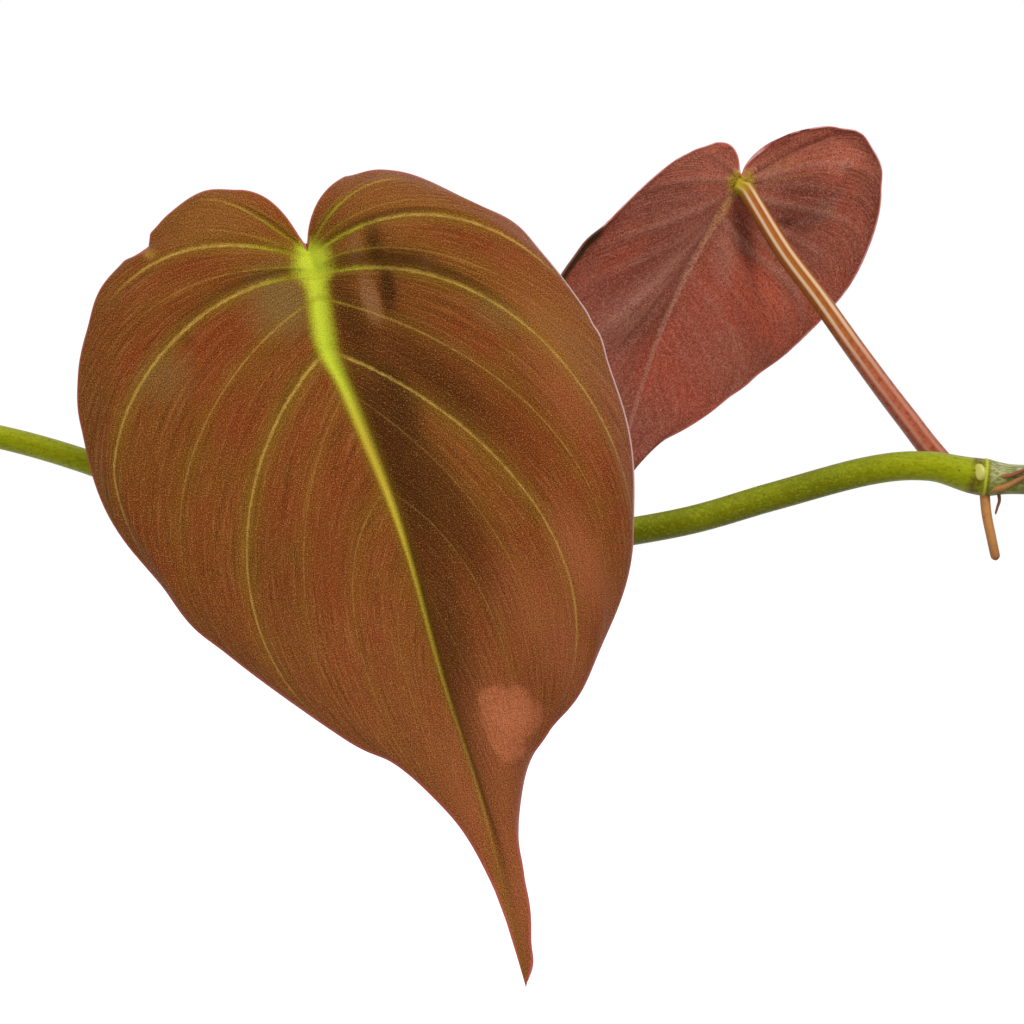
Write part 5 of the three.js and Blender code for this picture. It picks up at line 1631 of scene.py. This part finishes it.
def pot_profile():
    """Radius and height of the pot's section, from its underside round to its floor. It leaves out the
    middle of both, where the drain holes are.
    """
    collar_foot = POT_HEIGHT - COLLAR_HEIGHT
    body_top = POT_RIM_RADIUS - COLLAR_STEP
    # Each corner's radius and height, and how far its rounding reaches along both sides
    corners = [
        (POT_FOOT_RADIUS, 0, 1.2),
        (body_top, collar_foot, 0.5),
        (POT_RIM_RADIUS - 0.4, collar_foot + 0.4, 0.9),
        (POT_RIM_RADIUS, POT_HEIGHT, 1.6),
        (inner_radius(POT_HEIGHT), POT_HEIGHT, 1.4),
        (inner_radius(POT_FLOOR), POT_FLOOR, 2.0),
    ]
    points = [(DRAIN_CIRCLE + DRAIN_RADIUS + 3, 0)]
    ends = [(0, 0)] + [(r, z) for r, z, _ in corners] + [(0, POT_FLOOR)]
    for i, (r, z, fillet) in enumerate(corners):
        corner = np.array((r, z), dtype=float)
        before, after = (unit(np.array(ends[j], dtype=float) - corner) for j in (i, i + 2))
        for share in np.linspace(0, 1, 5):
            a, b = corner + before * fillet, corner + after * fillet
            points.append(tuple((1 - share) ** 2 * a + 2 * share * (1 - share) * corner + share ** 2 * b))
        following = np.array(ends[i + 2], dtype=float)
        gap = np.linalg.norm(following - corner)
        for share in np.arange(12, gap - 4, 12) / gap:
            points.append(tuple(corner + (following - corner) * share))
    points.append((DRAIN_CIRCLE + DRAIN_RADIUS + 3, POT_FLOOR))
    return points


class PLANT_OT_pot(bpy.types.Operator):
    """Turn the clay pot and give it its drain holes"""
    bl_idname = "plant.pot"
    bl_label = "Pot"

    def execute(self, context):
        look = context.scene.pot_look
        profile = pot_profile()
        angles = np.linspace(0, 2 * np.pi, POT_SIDES, endpoint=False)
        vertices = [(0, 0, 0)]
        for r, z in profile:
            vertices += [(*polar(r, a), z) for a in angles]
        vertices.append((0, 0, POT_FLOOR))
        parts = Parts()
        parts.add(vertices, closed_faces(len(profile), POT_SIDES), 0)
        piece = parts.make("clay_pot", [pot_material(look)])
        self.drill(piece)
        settle(piece, "pot")
        return {"FINISHED"}

    def drill(self, piece):
        """Cut the drain holes through the floor."""
        drills = Parts()
        for k in range(DRAIN_HOLES):
            angle = 2 * math.pi * (k + 0.5) / DRAIN_HOLES
            centre = np.array((*polar(DRAIN_CIRCLE, angle), 0))
            line = [centre + (0, 0, z) for z in (-POT_FLOOR, 0.4 * POT_FLOOR, 2 * POT_FLOOR)]
            vertices, faces = sweep(line, [DRAIN_RADIUS] * 3, DRILL_SIDES)
            drills.add(vertices, faces, 0)
        tool = drills.make("drills", [])
        cut = piece.modifiers.new("drain", "BOOLEAN")
        cut.operation = "DIFFERENCE"
        cut.object = tool
        cut.solver = "MANIFOLD"
        with bpy.context.temp_override(object=piece, active_object=piece):
            bpy.ops.object.modifier_apply(modifier=cut.name)
        bpy.data.objects.remove(tool, do_unlink=True)
        piece.data.polygons.foreach_set("use_smooth", [True] * len(piece.data.polygons))
        piece.data.set_sharp_from_angle(angle=math.radians(35))


class PLANT_OT_soil(bpy.types.Operator):
    """Fill the pot with potting mix and scatter its crumbs"""
    bl_idname = "plant.soil"
    bl_label = "Soil"

    def execute(self, context):
        look = context.scene.pot_look
        edge = inner_radius(SOIL_LEVEL) - SOIL_CLEAR
        parts = Parts()
        self.fill(parts, edge)
        self.crumbs(parts, edge - 1.5, look.crumbs)
        piece = parts.make("potting_mix_fill", [soil_material(look), grit_material(look)])
        settle(piece, "soil")
        return {"FINISHED"}

    def fill(self, parts, edge):
        """The body of the mix, with a lumpy top that dips at its edge."""
        def around(row):
            """The angles of a row's points; every other row is half a step on."""
            return [2 * math.pi * (k + 0.5 * (row % 2)) / SOIL_SIDES for k in range(SOIL_SIDES)]
        vertices = [(0, 0, self.height(0, 0))]
        for i in range(1, SOIL_RINGS + 1):
            dip = 1.2 if i == SOIL_RINGS else 0
            for angle in around(i):
                x, y = polar(edge * i / SOIL_RINGS, angle)
                vertices.append((x, y, self.height(x, y) - dip))
        bottom = POT_FLOOR + SOIL_GAP
        for r, z in ((edge - 0.2, SOIL_LEVEL - 6), (inner_radius(bottom) - SOIL_CLEAR, bottom)):
            vertices += [(*polar(r, angle), z) for angle in around(SOIL_RINGS)]
        vertices.append((0, 0, bottom))
        parts.add(vertices, closed_faces(SOIL_RINGS + 2, SOIL_SIDES, flip=True), 0)

    def crumbs(self, parts, reach, count):
        """Loose crumbs on top, one in ten of them a pale grain."""
        random = np.random.default_rng(5)
        for _ in range(count):
            x, y = polar(reach * math.sqrt(random.random()), 2 * math.pi * random.random())
            size = 0.5 + 1.5 * random.random() ** 3
            axis = random.normal(size=3)
            centre = (x, y, self.height(x, y) + 0.25 * size)
            body, sheets = globe(centre, (size, size * 0.8, size * 0.6), axis, 4, 6)
            body = body + random.normal(scale=0.1 * size, size=body.shape)
            parts.add(body, sheets, 1 if random.random() < 0.1 else 0)

    def height(self, x, y):
        """The height of the lumpy top of the mix, a little higher in the middle."""
        lumps = (math.sin(0.31 * x + 1.3) * math.cos(0.27 * y) + 0.6 * math.sin(0.7 * x - 0.5 * y)
                 + 0.5 * math.sin(1.3 * y + 0.4 * x + 2) * math.cos(1.1 * x))
        return SOIL_LEVEL + 0.7 * lumps + 1.5 * (1 - (x * x + y * y) / POT_RIM_RADIUS ** 2)


class PLANT_OT_stage(bpy.types.Operator):
    """Set the floor, the lights and the camera"""
    bl_idname = "plant.stage"
    bl_label = "Stage"

    def execute(self, context):
        look = context.scene.stage_look
        self.floor(look)
        self.lights(context, look)
        self.camera(context)
        return {"FINISHED"}

    def floor(self, look):
        """A plain pale floor, which is no part of the model."""
        half = look.span / 2
        mesh = bpy.data.meshes.new("floor")
        mesh.from_pydata([(-half, -half, 0), (half, -half, 0), (half, half, 0), (-half, half, 0)], [],
                         [(0, 1, 2, 3)])
        m = Shader("pale_floor")
        mesh.materials.append(m.finish(tuple(look.floor), 0.9, Specular_IOR_Level=0.0))
        floor = bpy.data.objects.new("floor", mesh)
        bpy.context.scene.collection.objects.link(floor)

    def lights(self, context, look):
        """An even light from all round, and a soft key light from the upper right in front."""
        world = bpy.data.worlds.new("studio")
        world.use_nodes = True
        background = world.node_tree.nodes["Background"]
        background.inputs["Color"].default_value = (1, 1, 1, 1)
        background.inputs["Strength"].default_value = look.fill
        context.scene.world = world
        light = bpy.data.lights.new("key", "SUN")
        light.energy = look.key
        light.angle = look.softness
        lamp = bpy.data.objects.new("key", light)
        lamp.rotation_euler = Vector((0.42, -0.75, 0.8)).to_track_quat("Z", "Y").to_euler()
        context.scene.collection.objects.link(lamp)

    def camera(self, context):
        """The photograph's view."""
        lens = bpy.data.cameras.new("view")
        lens.sensor_width = 36
        lens.lens = lens.sensor_width * VIEW_DISTANCE / VIEW_WIDTH
        lens.clip_start = 0.05
        lens.clip_end = 100
        camera = bpy.data.objects.new("view", lens)
        camera.location = Vector(VIEW_CENTRE) * MM
        camera.rotation_euler = (math.radians(90), 0, 0)
        context.scene.collection.objects.link(camera)
        context.scene.camera = camera
        context.scene.view_settings.view_transform = "Standard"


class PLANT_PT_panel(bpy.types.Panel):
    """The plant's pieces, in the order in which they are made"""
    bl_idname = "PLANT_PT_panel"
    bl_label = "Potted philodendron"
    bl_space_type = "VIEW_3D"
    bl_region_type = "UI"
    bl_category = "Plant"

    def draw(self, context):
        for step in STEPS:
            self.layout.operator(step.bl_idname)


STEPS = (PLANT_OT_stage, PLANT_OT_pot, PLANT_OT_soil, PLANT_OT_stems, PLANT_OT_front_leaf,
         PLANT_OT_turned_leaf, PLANT_OT_vine_leaves)
LOOKS = {"leaf_look": LeafLook, "stem_look": StemLook, "pot_look": PotLook, "stage_look": StageLook}


def register():
    for group in (*LOOKS.values(), *STEPS, PLANT_PT_panel):
        bpy.utils.register_class(group)
    for name, group in LOOKS.items():
        setattr(bpy.types.Scene, name, PointerProperty(type=group))


def unregister():
    for name in LOOKS:
        delattr(bpy.types.Scene, name)
    for group in reversed((*LOOKS.values(), *STEPS, PLANT_PT_panel)):
        bpy.utils.unregister_class(group)


def main():
    """Make every piece in turn."""
    register()
    for step in STEPS:
        family, name = step.bl_idname.split(".")
        getattr(getattr(bpy.ops, family), name)()


if __name__ == "__main__":
    main()
